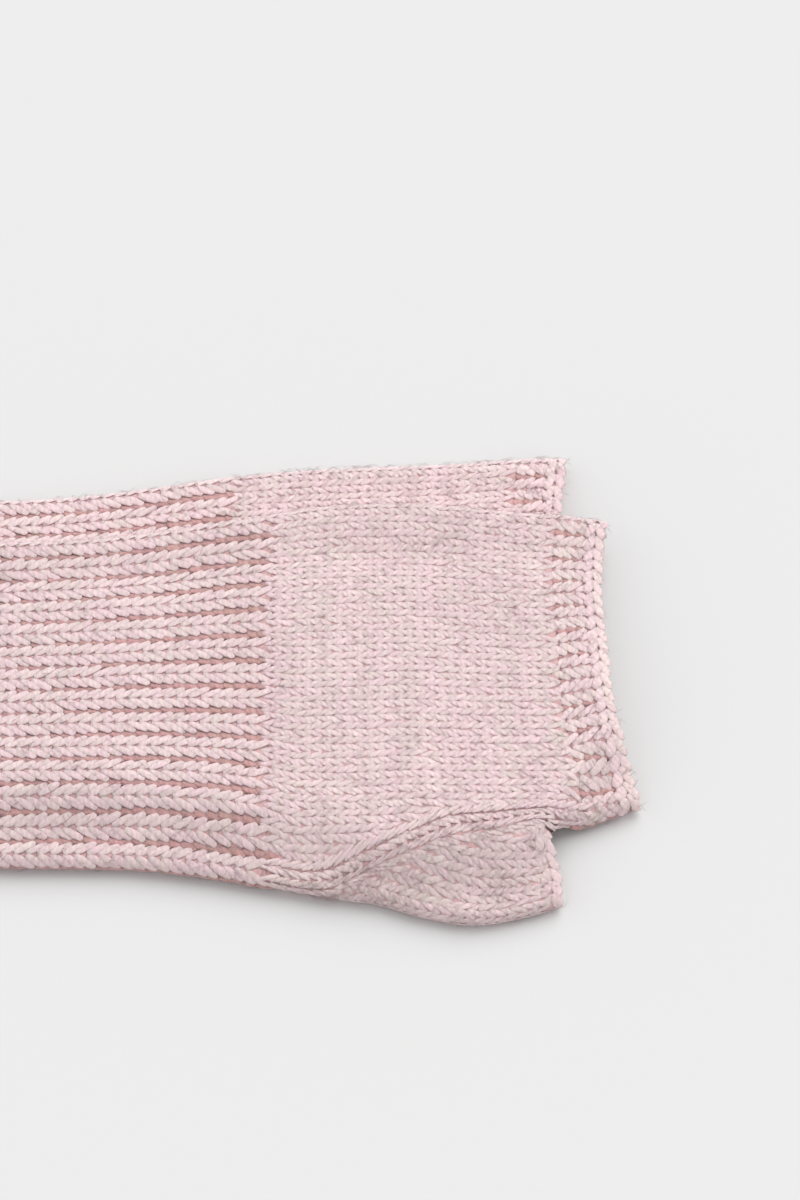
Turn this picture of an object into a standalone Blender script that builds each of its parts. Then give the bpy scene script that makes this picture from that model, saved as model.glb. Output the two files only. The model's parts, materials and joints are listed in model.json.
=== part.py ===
"""A pair of knitted arm warmers, laid flat with the upper one set a little nearer.

Sizes in the tables are millimetres and the meshes are metres. X runs along the arm
towards the fingers, Y across it and away from the thumb, and Z up from the table.
Each warmer is a flattened tube: two layers of cloth joined by a fold at either side.
"""

import math
from collections import namedtuple

import bmesh
import bpy
import numpy as np

MM = 0.001
SEAM_GAP = 0.3
BAND_GAP = 0.4

# One stretch of cloth: height of the flattened tube without its ribs, wall, how far
# the ribs stand up, how many there are across the upper layer, colour and roughness
Stretch = namedtuple("Stretch", "thick wall raised ribs colour roughness")
ARM = Stretch(5.1, 2.0, 1.1, 14, (0.70, 0.51, 0.50), 0.92)
HAND = Stretch(5.8, 2.3, 0.0, 0, (0.73, 0.55, 0.54), 0.90)
BAND = Stretch(5.0, 2.0, 1.0, 12, (0.68, 0.50, 0.49), 0.93)
THUMB = Stretch(5.2, 2.1, 0.0, 0, (0.66, 0.48, 0.48), 0.91)

# Where across one rib its points lie, and the share of the full height they have
RibPoint = namedtuple("RibPoint", "across height")
RIB_PROFILE = (RibPoint(0.0, 0.0), RibPoint(0.18, 0.85), RibPoint(0.5, 1.0), RibPoint(0.82, 0.85))

# Outline of the knitting, measured from the middle of the wrist line
Edge = namedtuple("Edge", "along upper_far lower_far near")
ARM_EDGES = (
    Edge(-170.0, 41.0, 40.0, -43.6),
    Edge(-130.0, 40.4, 39.6, -43.4),
    Edge(-90.0, 40.0, 39.4, -43.5),
    Edge(-65.0, 40.3, 39.7, -43.8),
    Edge(-45.0, 41.5, 40.6, -43.9),
    Edge(-30.0, 43.4, 42.3, -44.4),
    Edge(-18.0, 45.4, 44.2, -45.8),
    Edge(-8.0, 47.1, 46.0, -47.5),
    Edge(0.0, 48.4, 47.2, -49.1),
)
# Between the wrist and the fork of the thumb the near column lies beyond the thumb's
# seam, where the tube of the hand is cut open
HAND_EDGES = (
    Edge(0.0, 49.4, 47.8, -49.4),
    Edge(7.0, 51.0, 48.8, -50.7),
    Edge(15.0, 52.1, 49.5, -52.2),
    Edge(24.0, 52.6, 50.1, -53.4),
    Edge(34.0, 52.7, 50.6, -49.0),
    Edge(46.0, 51.6, 51.1, -44.4),
    Edge(58.0, 50.4, 51.8, -41.0),
    Edge(64.0, 49.8, 52.3, -38.4),
    Edge(68.0, 49.5, 52.6, -35.8),
    Edge(76.0, 48.9, 53.0, -33.4),
    Edge(90.0, 47.6, 52.4, -27.8),
)

# The finger edge leans, so its distance from the wrist grows towards the thumb
FingerPoint = namedtuple("FingerPoint", "across along")
FINGER_EDGE = (
    FingerPoint(0.0, 83.4),
    FingerPoint(0.15, 81.8),
    FingerPoint(0.45, 82.3),
    FingerPoint(0.74, 84.2),
    FingerPoint(0.88, 87.0),
    FingerPoint(1.0, 89.3),
)
HAND_ROWS = (0.0, 0.08, 0.18, 0.30, 0.42, 0.54, 0.66, 0.73, 0.79, 0.853)
BAND_ROWS = (0.853, 0.92, 0.97, 1.0)

# The thumb's tube, from the start of its gusset to its open end; its far side lies
# beyond the seam until the fork
ThumbRow = namedtuple("ThumbRow", "step far_along far near_along near")
THUMB_ROWS = (
    ThumbRow(0, 9.0, -44.5, 7.0, -50.7),
    ThumbRow(1, 20.0, -41.5, 18.0, -52.5),
    ThumbRow(2, 30.0, -37.8, 27.5, -54.0),
    ThumbRow(3, 40.0, -34.2, 37.5, -57.2),
    ThumbRow(4, 50.0, -31.0, 49.0, -59.1),
    ThumbRow(5, 60.0, -29.8, 59.0, -57.7),
    ThumbRow(6, 66.8, -37.0, 69.8, -54.6),
)
THUMB_RINGS = 10
THUMB_END_BULGE = 1.3

# Seam between the hand and the thumb's gusset, from the near fold to the fork
SeamPoint = namedtuple("SeamPoint", "along across")
THUMB_SEAM = (
    SeamPoint(13.0, -49.5),
    SeamPoint(21.4, -47.4),
    SeamPoint(29.0, -43.9),
    SeamPoint(38.0, -40.6),
    SeamPoint(49.0, -37.4),
    SeamPoint(60.0, -35.4),
    SeamPoint(68.0, -36.2),
)

# How far the seam's cutters reach past the knitting that they cut
CUT_NEAR = -80.0
CUT_FAR = -15.0
CUT_BACK = -20.0
CUT_FRONT = 90.0
CUT_HALF_HEIGHT = 20.0

# The upper warmer lies on the lower one, and hangs over its near side and its fingers
STACK_HEIGHT = 6.5
NEAR_START = -2.0
NEAR_DRAPE = 15.5
FINGER_DRAPE = 14.0
FINGER_DROP = 0.35
Reach = namedtuple("Reach", "along near")
LOWER_REACH = (
    Reach(-170.0, -43.6),
    Reach(-90.0, -43.6),
    Reach(-45.0, -43.9),
    Reach(-18.0, -45.8),
    Reach(0.0, -49.3),
    Reach(15.0, -52.2),
    Reach(27.0, -54.0),
    Reach(37.0, -57.2),
    Reach(49.0, -59.1),
    Reach(60.0, -58.5),
    Reach(71.5, -57.0),
    Reach(80.0, -45.0),
    Reach(90.0, -31.0),
    Reach(110.0, -28.0),
)

# Each warmer: its place, which far edge it has, and the points across each of its layers
Warmer = namedtuple("Warmer", "name ahead across far_column lies_on_other crossings arm_crossings rib_inner")
UPPER_CROSSINGS = (0.06, 0.14, 0.24, 0.36, 0.48, 0.58, 0.66, 0.72, 0.77, 0.81, 0.85, 0.89, 0.93, 0.97)
LOWER_CROSSINGS = (0.06, 0.14, 0.24, 0.36, 0.48, 0.60, 0.72, 0.82, 0.90, 0.96)
LOWER_ARM_CROSSINGS = (0.25, 0.5, 0.75)
THUMB_CROSSINGS = (0.16, 0.33, 0.5, 0.67, 0.84)
WARMERS = (
    Warmer("lower", -9.3, 17.0, "lower_far", False, LOWER_CROSSINGS, LOWER_ARM_CROSSINGS, 4),
    Warmer("upper", 0.0, 0.0, "upper_far", True, UPPER_CROSSINGS, UPPER_CROSSINGS, 2),
)
LOWER_AHEAD = WARMERS[0].ahead
LOWER_ACROSS = WARMERS[0].across
FOLD_STEPS = 3


def soft_step(value):
    """Rise smoothly from 0 to 1."""
    value = min(max(value, 0.0), 1.0)
    return value * value * (3.0 - 2.0 * value)


def read_table(rows, at, key, column):
    """Read a column of a table at a place between its rows, on a smooth curve."""
    places = np.array([getattr(row, key) for row in rows])
    values = np.array([getattr(row, column) for row in rows])
    slopes = np.gradient(values, places)
    at = min(max(at, places[0]), places[-1])
    row = min(max(int(np.searchsorted(places, at)) - 1, 0), len(rows) - 2)
    span = places[row + 1] - places[row]
    share = (at - places[row]) / span
    rest = 1.0 - share
    start = values[row] * (1.0 + 2.0 * share) + slopes[row] * span * share
    end = values[row + 1] * (1.0 + 2.0 * rest) - slopes[row + 1] * span * rest
    return start * rest * rest + end * share * share


def support_height(warmer, along, across):
    """Height of what lies under a point of a warmer."""
    if not warmer.lies_on_other:
        return 0.0
    along = along - LOWER_AHEAD
    across = across - LOWER_ACROSS
    past_near = read_table(LOWER_REACH, along, "along", "near") - across
    part = (HAND_EDGES[-1].lower_far - across) / (HAND_EDGES[-1].lower_far - HAND_EDGES[-1].near)
    past_fingers = along - read_table(FINGER_EDGE, part, "across", "along")
    near = 1.0 - soft_step((past_near - NEAR_START) / NEAR_DRAPE)
    fingers = 1.0 - FINGER_DROP * soft_step(past_fingers / FINGER_DRAPE)
    return STACK_HEIGHT * near * fingers


class Ring:
    """One course of the flattened tube, from its far fold to its near fold."""

    def __init__(self, far, near, stretch, bow):
        """Lay the course between two points, bowed along the arm by a function."""
        self.far = np.array(far)
        self.run = np.array(near) - self.far
        self.width = float(np.linalg.norm(self.run))
        self.stretch = stretch
        self.radius = stretch.thick / 2.0
        self.around = self.width - 2.0 * self.radius + math.pi * self.radius
        self.bow = bow

    def point(self, warmer, layer, share, proud):
        """Place a point: layer 1 or -1, share of the way across, height off the skin."""
        quarter = math.pi / 2.0 * self.radius
        way = share * self.around
        from_fold = min(way, self.around - way)
        turn = min(from_fold / self.radius, math.pi / 2.0)
        inset = self.radius * (1.0 - math.cos(turn)) + max(from_fold - quarter, 0.0)
        inset -= proud * math.cos(turn)
        plan = inset if way <= self.around / 2.0 else self.width - inset
        part = plan / self.width
        along, across = self.far + self.run * part
        along += self.bow(part)
        level = self.radius + layer * (self.radius + proud) * math.sin(turn)
        height = support_height(warmer, along, across) + level
        return (along * MM, across * MM, height * MM)


def plain_shares(ring, crossings):
    """Shares of the way across a plain layer: close on the folds, then the crossings."""
    quarter = math.pi / 2.0 * ring.radius / ring.around
    fold = [quarter * step / FOLD_STEPS for step in range(FOLD_STEPS + 1)]
    flat = [quarter + (1.0 - 2.0 * quarter) * share for share in crossings]
    return fold + flat + [1.0 - share for share in reversed(fold)]


def plain_loop(ring, crossings):
    """Points round a plain course: layer, share across, rib height, and 1 on inner points."""
    shares = plain_shares(ring, crossings)
    upper = [(1, share, 0.0, 1) for share in shares]
    lower = [(-1, share, 0.0, 1) for share in reversed(shares[1:-1])]
    return upper + lower


def ribbed_loop(ring, crossings, inner_step):
    """Points round a course with ribs on its upper layer and a plain lower one."""
    upper = []
    for rib in range(ring.stretch.ribs):
        for index, point in enumerate(RIB_PROFILE):
            share = (rib + point.across) / ring.stretch.ribs
            inner = 1 if index % inner_step == 0 else 0
            upper.append((1, share, point.height * ring.stretch.raised, inner))
    upper.append((1, 1.0, 0.0, 1))
    shares = plain_shares(ring, crossings)[1:-1]
    lower = [(-1, share, 0.0, 1) for share in reversed(shares)]
    return upper + lower


def bridge_courses(mesh, first, second):
    """Join two courses of equal count with a band of faces."""
    count = len(first)
    for index in range(count):
        after = (index + 1) % count
        mesh.faces.new((first[index], first[after], second[after], second[index]))


def close_mouth(mesh, outer, inner, places):
    """Fill the rim of an open end between the outer course and the sparser inner one."""
    count = len(outer)
    for index, place in enumerate(places):
        after = (index + 1) % len(places)
        end = places[after] if after else places[0] + count
        middle = (place + end - 1) // 2
        for step in range(place, middle):
            mesh.faces.new((outer[step % count], outer[(step + 1) % count], inner[index]))
        corners = (outer[middle % count], outer[(middle + 1) % count])
        mesh.faces.new((inner[after], inner[index], *corners))
        for step in range(middle + 1, end):
            mesh.faces.new((outer[step % count], outer[(step + 1) % count], inner[after]))


def knit_tube(name, warmer, rings, loops, collection):
    """Make a hollow, flattened tube through its courses, open at both ends."""
    mesh = bmesh.new()
    outer = []
    inner = []
    for ring, loop in zip(rings, loops):
        wall = ring.stretch.wall
        skin = [ring.point(warmer, layer, share, rib) for layer, share, rib, _ in loop]
        hollow = [ring.point(warmer, layer, share, -wall) for layer, share, _, kept in loop if kept]
        outer.append([mesh.verts.new(point) for point in skin])
        inner.append([mesh.verts.new(point) for point in hollow])
    for here, ahead in zip(outer[:-1], outer[1:]):
        bridge_courses(mesh, here, ahead)
    for here, ahead in zip(inner[:-1], inner[1:]):
        bridge_courses(mesh, ahead, here)
    places = [index for index, point in enumerate(loops[0]) if point[3]]
    close_mouth(mesh, outer[0], inner[0], places)
    close_mouth(mesh, outer[-1], inner[-1], places)
    bmesh.ops.recalc_face_normals(mesh, faces=mesh.faces)
    if mesh.calc_volume(signed=True) < 0.0:
        bmesh.ops.reverse_faces(mesh, faces=mesh.faces)
    data = bpy.data.meshes.new(name)
    mesh.to_mesh(data)
    mesh.free()
    piece = bpy.data.objects.new(name, data)
    piece.location = (warmer.ahead * MM, warmer.across * MM, 0.0)
    piece.data.materials.append(yarn(name, rings[0].stretch))
    collection.objects.link(piece)
    data.shade_smooth()
    data.set_sharp_from_angle(angle=math.radians(50.0))
    return piece


def yarn(name, stretch):
    """Give a piece its own wool, in the colour and roughness of its stretch."""
    material = bpy.data.materials.new(name + "_yarn")
    material.use_nodes = True
    shader = material.node_tree.nodes["Principled BSDF"]
    shader.inputs["Base Color"].default_value = (*stretch.colour, 1.0)
    shader.inputs["Roughness"].default_value = stretch.roughness
    shader.inputs["Metallic"].default_value = 0.0
    return material


def no_bow(_part):
    """Keep a course straight."""
    return 0.0


def arm_ring(warmer, along):
    """Course of the ribbed forearm."""
    far = read_table(ARM_EDGES, along, "along", warmer.far_column)
    near = read_table(ARM_EDGES, along, "along", "near")
    return Ring((along, far), (along, near), ARM, no_bow)


def hand_ring(warmer, row, stretch, nudge):
    """Course of the hand or its finger band, at a share of the way to the fingers."""
    far_along = row * FINGER_EDGE[0].along + nudge
    near_along = row * FINGER_EDGE[-1].along + nudge
    far = read_table(HAND_EDGES, far_along, "along", warmer.far_column)
    near = read_table(HAND_EDGES, near_along, "along", "near")

    def bow(part):
        """Follow the finger edge's curve in proportion to the row."""
        edge = read_table(FINGER_EDGE, part, "across", "along")
        straight = FINGER_EDGE[0].along + part * (FINGER_EDGE[-1].along - FINGER_EDGE[0].along)
        return row * (edge - straight)

    return Ring((far_along, far), (near_along, near), stretch, bow)


def thumb_ring(step):
    """Course of the thumb's tube, the last one bowed like its open end."""
    columns = ("far_along", "far", "near_along", "near")
    far_along, far, near_along, near = (read_table(THUMB_ROWS, step, "step", name) for name in columns)
    bulge = THUMB_END_BULGE * step / THUMB_ROWS[-1].step

    def bow(part):
        """Bulge the middle of the course towards the open end."""
        return bulge * 4.0 * part * (1.0 - part)

    return Ring((far_along, far), (near_along, near), THUMB, bow)


def seam_cutter(name, warmer, side, collection):
    """Prism that holds all on one side of the thumb's seam: 1 the thumb's, -1 the hand's."""
    gap = side * SEAM_GAP / 2.0
    seam = [(point.along - gap, point.across + gap) for point in THUMB_SEAM]
    start = seam[0][0]
    end, fork = seam[-1]
    if side > 0:
        outline = [(start, CUT_NEAR)] + seam + [(end, CUT_NEAR)]
    else:
        outline = [(CUT_BACK, CUT_FAR), (CUT_BACK, CUT_NEAR), (start, CUT_NEAR)] + seam
        outline += [(CUT_FRONT, fork), (CUT_FRONT, CUT_FAR)]
    curve = bpy.data.curves.new(name, "CURVE")
    curve.dimensions = "2D"
    curve.fill_mode = "BOTH"
    curve.extrude = CUT_HALF_HEIGHT * MM
    spline = curve.splines.new("POLY")
    spline.points.add(len(outline) - 1)
    for point, (along, across) in zip(spline.points, outline):
        point.co = (along * MM, across * MM, 0.0, 1.0)
    spline.use_cyclic_u = True
    flat = bpy.data.objects.new(name + "_outline", curve)
    flat.location = (warmer.ahead * MM, warmer.across * MM, 0.0)
    collection.objects.link(flat)
    bpy.context.view_layer.update()
    evaluated = flat.evaluated_get(bpy.context.evaluated_depsgraph_get())
    data = bpy.data.meshes.new_from_object(evaluated)
    mesh = bmesh.new()
    mesh.from_mesh(data)
    bmesh.ops.remove_doubles(mesh, verts=mesh.verts, dist=0.01 * MM)
    bmesh.ops.recalc_face_normals(mesh, faces=mesh.faces)
    mesh.to_mesh(data)
    mesh.free()
    cutter = bpy.data.objects.new(name, data)
    cutter.matrix_world = flat.matrix_world
    bpy.data.objects.remove(flat)
    collection.objects.link(cutter)
    cutter.hide_render = True
    cutter.display_type = "WIRE"
    return cutter


def cut_with(piece, cutter, solver):
    """Cut a piece open along the seam."""
    cut = piece.modifiers.new("open along the seam", "BOOLEAN")
    cut.operation = "DIFFERENCE"
    cut.solver = solver
    cut.object = cutter


def make_forearm(warmer, collection):
    """Ribbed forearm, from its open cuff to the wrist line."""
    stations = [edge.along for edge in ARM_EDGES]
    stations[-1] -= SEAM_GAP
    rings = [arm_ring(warmer, along) for along in stations]
    loops = [ribbed_loop(ring, warmer.arm_crossings, warmer.rib_inner) for ring in rings]
    return knit_tube(warmer.name + "_forearm_rib", warmer, rings, loops, collection)


def make_hand(warmer, collection, cutters):
    """Plain hand, open along the thumb's seam."""
    rings = [hand_ring(warmer, row, HAND, 0.0) for row in HAND_ROWS]
    loops = [plain_loop(ring, warmer.crossings) for ring in rings]
    hand = knit_tube(warmer.name + "_hand", warmer, rings, loops, collection)
    # The exact solver loses the draped hand, so both hands take the manifold one
    cut_with(hand, seam_cutter(warmer.name + "_thumb_side", warmer, 1, cutters), "MANIFOLD")
    return hand


def make_finger_band(warmer, collection):
    """Ribbed band round the open finger end."""
    nudges = [BAND_GAP] + [0.0] * (len(BAND_ROWS) - 1)
    rings = [hand_ring(warmer, row, BAND, nudge) for row, nudge in zip(BAND_ROWS, nudges)]
    loops = [ribbed_loop(ring, warmer.crossings, warmer.rib_inner) for ring in rings]
    return knit_tube(warmer.name + "_finger_band", warmer, rings, loops, collection)


def make_thumb(warmer, collection, cutters):
    """Gusset and short thumb, open at its end and along the seam."""
    rings = [thumb_ring(step) for step in np.linspace(0.0, THUMB_ROWS[-1].step, THUMB_RINGS)]
    loops = [plain_loop(ring, THUMB_CROSSINGS) for ring in rings]
    thumb = knit_tube(warmer.name + "_thumb", warmer, rings, loops, collection)
    cut_with(thumb, seam_cutter(warmer.name + "_hand_side", warmer, -1, cutters), "EXACT")
    return thumb


def centre_on_origin(pieces, everything):
    """Hang all on one empty that puts the origin under the middle of the pair."""
    graph = bpy.context.evaluated_depsgraph_get()
    corners = []
    for piece in pieces:
        shape = piece.evaluated_get(graph)
        corners += [shape.matrix_world @ vertex.co for vertex in shape.data.vertices]
    low = np.min(np.array(corners), axis=0)
    high = np.max(np.array(corners), axis=0)
    middle = (low + high) / 2.0
    holder = bpy.data.objects.new("laid_pair", None)
    bpy.context.scene.collection.objects.link(holder)
    for item in everything:
        item.parent = holder
    holder.location = (-middle[0], -middle[1], -low[2])
    bpy.context.view_layer.update()


def main():
    """Build both warmers, the lower one first."""
    for item in list(bpy.data.objects):
        bpy.data.objects.remove(item)
    collection = bpy.data.collections.new("arm_warmers")
    cutters = bpy.data.collections.new("seam_cutters")
    bpy.context.scene.collection.children.link(collection)
    bpy.context.scene.collection.children.link(cutters)
    pieces = []
    for warmer in WARMERS:
        pieces.append(make_forearm(warmer, collection))
        pieces.append(make_hand(warmer, collection, cutters))
        pieces.append(make_finger_band(warmer, collection))
        pieces.append(make_thumb(warmer, collection, cutters))
    bpy.context.view_layer.update()
    centre_on_origin(pieces, pieces + list(cutters.objects))


main()
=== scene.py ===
"""Dresses a pair of knitted arm warmers: wool cloth and every stitch, on the fixed solids.

Sizes are millimetres until a mesh is made, and metres in the meshes. A warmer is a flattened
tube. A place on it is a row along the arm, an arc across it from the far fold, the layer that
it is on and how far it stands off the skin. X runs towards the fingers, Y away from the
thumbs and Z up.
"""

from __future__ import annotations

import json
import logging
import math
from dataclasses import dataclass, field, fields
from enum import Enum
from typing import Callable, NamedTuple, Sequence

import bmesh
import bpy
import numpy as np
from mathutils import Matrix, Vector

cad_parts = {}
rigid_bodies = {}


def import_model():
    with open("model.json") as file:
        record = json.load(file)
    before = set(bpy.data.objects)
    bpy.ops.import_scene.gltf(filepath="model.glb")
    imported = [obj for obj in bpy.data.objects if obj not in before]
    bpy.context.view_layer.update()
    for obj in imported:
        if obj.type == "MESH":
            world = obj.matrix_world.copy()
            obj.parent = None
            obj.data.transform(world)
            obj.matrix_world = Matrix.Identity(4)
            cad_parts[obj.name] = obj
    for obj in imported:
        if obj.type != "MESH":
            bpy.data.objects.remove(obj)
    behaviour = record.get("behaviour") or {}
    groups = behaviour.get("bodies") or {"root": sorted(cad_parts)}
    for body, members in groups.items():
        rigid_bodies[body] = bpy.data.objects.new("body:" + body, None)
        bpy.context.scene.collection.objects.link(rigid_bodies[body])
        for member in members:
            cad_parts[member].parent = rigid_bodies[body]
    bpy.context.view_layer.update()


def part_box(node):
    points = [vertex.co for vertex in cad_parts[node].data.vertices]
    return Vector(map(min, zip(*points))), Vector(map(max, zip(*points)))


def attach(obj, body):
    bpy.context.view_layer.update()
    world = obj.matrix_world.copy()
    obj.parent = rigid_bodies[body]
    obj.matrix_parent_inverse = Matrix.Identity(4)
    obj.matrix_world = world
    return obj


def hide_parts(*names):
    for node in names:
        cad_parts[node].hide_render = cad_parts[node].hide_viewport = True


LOG = logging.getLogger("arm_warmers")
MM = 0.001
SEED = 20
THUMB_FROM = 8.0
THUMB_TO = 68.5
TABLE_GAP = 0.02
YARN_MAP = "yarn"


class Layer(Enum):
    """Which cloth of a flattened tube is meant."""

    TOP = 1
    UNDER = -1


class Detail(Enum):
    """How finely a stitch is modelled: sides and rings of its yarn."""

    FINE = (8, 5)
    PLAIN = (5, 4)
    FIBRE = (3, 3)


class ArmEdge(NamedTuple):
    """Outline of the forearm at one place along it."""

    along: float
    upper_far: float
    lower_far: float
    near: float


class HandEdge(NamedTuple):
    """Outline of the hand at one place along it, and the width of a wale there."""

    along: float
    upper_far: float
    lower_far: float
    near: float
    wale: float


class FingerPoint(NamedTuple):
    """Distance of the finger edge from the wrist, at a share of the way across."""

    across: float
    along: float


class ThumbRow(NamedTuple):
    """One course of the thumb's tube, and the width of a wale there."""

    step: float
    far_along: float
    far: float
    near_along: float
    near: float
    wale: float


class GussetLine(NamedTuple):
    """Lines that bound the two wales beside the gusset, and the outline near them.

    The palm ends at the palm line, the hand at the gusset line, and the thumb's own wales
    end at the thumb line. One wale runs between each two lines.
    """

    along: float
    palm_line: float
    gusset_line: float
    thumb_line: float
    outline: float


class Reach(NamedTuple):
    """How far the lower warmer reaches under the upper one."""

    along: float
    near: float


ARM_EDGES = (
    ArmEdge(-170.0, 41.0, 40.0, -43.6),
    ArmEdge(-130.0, 40.4, 39.6, -43.4),
    ArmEdge(-90.0, 40.0, 39.4, -43.5),
    ArmEdge(-65.0, 40.3, 39.7, -43.8),
    ArmEdge(-45.0, 41.5, 40.6, -43.9),
    ArmEdge(-30.0, 43.4, 42.3, -44.4),
    ArmEdge(-18.0, 45.4, 44.2, -45.8),
    ArmEdge(-8.0, 47.1, 46.0, -47.5),
    ArmEdge(0.0, 48.4, 47.2, -49.1),
)
HAND_EDGES = (
    HandEdge(0.0, 49.4, 47.8, -49.4, 3.66),
    HandEdge(7.0, 51.0, 48.8, -50.7, 3.82),
    HandEdge(15.0, 52.1, 49.5, -52.2, 3.88),
    HandEdge(24.0, 52.6, 50.1, -53.4, 3.90),
    HandEdge(34.0, 52.7, 50.6, -49.0, 3.88),
    HandEdge(46.0, 51.6, 51.1, -44.4, 3.85),
    HandEdge(58.0, 50.4, 51.8, -41.0, 3.80),
    HandEdge(64.0, 49.8, 52.3, -38.4, 3.77),
    HandEdge(68.0, 49.5, 52.6, -35.8, 3.75),
    HandEdge(76.0, 48.9, 53.0, -33.4, 3.72),
    HandEdge(90.0, 47.6, 52.4, -27.8, 3.65),
)
FINGER_EDGE = (
    FingerPoint(0.0, 83.4),
    FingerPoint(0.15, 81.8),
    FingerPoint(0.45, 82.3),
    FingerPoint(0.74, 84.2),
    FingerPoint(0.88, 87.0),
    FingerPoint(1.0, 89.3),
)
THUMB_ROWS = (
    ThumbRow(0.0, 9.0, -44.5, 7.0, -50.7, 3.9),
    ThumbRow(1.0, 20.0, -41.5, 18.0, -52.5, 3.9),
    ThumbRow(2.0, 30.0, -37.8, 27.5, -54.0, 3.9),
    ThumbRow(3.0, 40.0, -34.2, 37.5, -57.2, 4.0),
    ThumbRow(4.0, 50.0, -31.0, 49.0, -59.1, 3.8),
    ThumbRow(5.0, 60.0, -29.8, 59.0, -57.7, 3.4),
    ThumbRow(6.0, 66.8, -37.0, 69.8, -54.6, 3.5),
)
GUSSET_LINES = (
    GussetLine(-4.0, -43.3, -46.7, -50.6, -48.9),
    GussetLine(1.0, -43.8, -47.3, -51.3, -49.7),
    GussetLine(6.0, -44.5, -48.6, -52.4, -50.4),
    GussetLine(10.5, -45.0, -49.3, -53.2, -51.3),
    GussetLine(15.5, -44.1, -49.1, -53.2, -52.2),
    GussetLine(19.0, -42.7, -48.2, -51.6, -52.6),
    GussetLine(22.5, -41.3, -46.8, -49.7, -53.1),
    GussetLine(26.5, -40.3, -45.2, -48.3, -53.9),
    GussetLine(32.0, -38.1, -42.8, -46.6, -55.4),
    GussetLine(37.0, -35.8, -40.9, -45.3, -57.0),
    GussetLine(41.5, -33.6, -38.9, -43.9, -58.1),
    GussetLine(46.3, -32.8, -37.5, -42.8, -58.9),
    GussetLine(51.0, -32.5, -37.1, -41.8, -59.0),
    GussetLine(56.0, -32.2, -36.4, -40.8, -58.3),
    GussetLine(60.5, -32.0, -35.5, -39.0, -56.3),
    GussetLine(65.3, -31.8, -34.9, -37.6, -44.5),
    GussetLine(69.0, -31.0, -34.6, -37.6, -36.4),
    GussetLine(76.0, -29.2, -33.0, -35.8, -33.4),
    GussetLine(90.0, -23.6, -27.4, -30.2, -27.8),
)
LOWER_REACH = (
    Reach(-170.0, -43.6),
    Reach(-90.0, -43.6),
    Reach(-45.0, -43.9),
    Reach(-18.0, -45.8),
    Reach(0.0, -49.3),
    Reach(15.0, -52.2),
    Reach(27.0, -54.0),
    Reach(37.0, -57.2),
    Reach(49.0, -59.1),
    Reach(60.0, -58.5),
    Reach(71.5, -57.0),
    Reach(80.0, -45.0),
    Reach(90.0, -31.0),
    Reach(110.0, -28.0),
)


class Crease(NamedTuple):
    """A soft trough in the cloth, from one place to another."""

    along: float
    across: float
    end_along: float
    end_across: float
    depth: float
    width: float


UPPER_CREASES = (
    Crease(-6.0, 37.0, 86.0, 38.5, 1.90, 6.2),
    Crease(-84.0, 27.0, -8.0, 35.0, 1.40, 6.0),
    Crease(-164.0, 20.0, -100.0, 27.0, 0.60, 6.0),
    Crease(16.0, 9.0, 45.0, -23.0, 0.45, 7.0),
    Crease(54.0, 24.0, 72.0, -6.0, 0.40, 6.0),
    Crease(-42.0, -29.0, 10.0, -38.0, 0.60, 5.0),
    Crease(-155.0, -27.0, -98.0, -20.0, 0.55, 6.0),
)
LOWER_CREASES = (
    Crease(-4.0, 41.0, 80.0, 43.0, 0.55, 4.5),
    Crease(-96.0, 30.0, -12.0, 38.0, 0.65, 5.0),
    Crease(-160.0, 22.0, -112.0, 30.0, 0.50, 6.0),
    Crease(12.0, -10.0, 52.0, 14.0, 0.50, 7.0),
    Crease(-60.0, -30.0, -4.0, -24.0, 0.55, 6.0),
)


class SmoothCurve:
    """Reads one column of a table between its rows, on a smooth curve."""

    def __init__(self, places: Sequence[float], values: Sequence[float]) -> None:
        """Keep the table's places and values.

        Args:
            places: Where the rows lie, rising.
            values: The column's value at each row.
        """
        self.places = np.array(places, dtype=float)
        self.values = np.array(values, dtype=float)
        self.slopes = np.gradient(self.values, self.places)

    def __call__(self, at: np.ndarray | float) -> np.ndarray:
        """Read the curve.

        Args:
            at: Places to read it at; beyond the table its end values hold.

        Returns:
            The values there.
        """
        at = np.clip(np.asarray(at, dtype=float), self.places[0], self.places[-1])
        row = np.clip(np.searchsorted(self.places, at) - 1, 0, len(self.places) - 2)
        span = self.places[row + 1] - self.places[row]
        share = (at - self.places[row]) / span
        rest = 1.0 - share
        start = self.values[row] * (1.0 + 2.0 * share) + self.slopes[row] * span * share
        end = self.values[row + 1] * (1.0 + 2.0 * rest) - self.slopes[row + 1] * span * rest
        return start * rest * rest + end * share * share


def read_column(rows: Sequence[NamedTuple], column: str) -> SmoothCurve:
    """Make a smooth curve of a table's column over its first one."""
    return SmoothCurve([row[0] for row in rows], [getattr(row, column) for row in rows])


def soft_step(value: np.ndarray) -> np.ndarray:
    """Rise smoothly from 0 to 1."""
    value = np.clip(value, 0.0, 1.0)
    return value * value * (3.0 - 2.0 * value)


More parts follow.
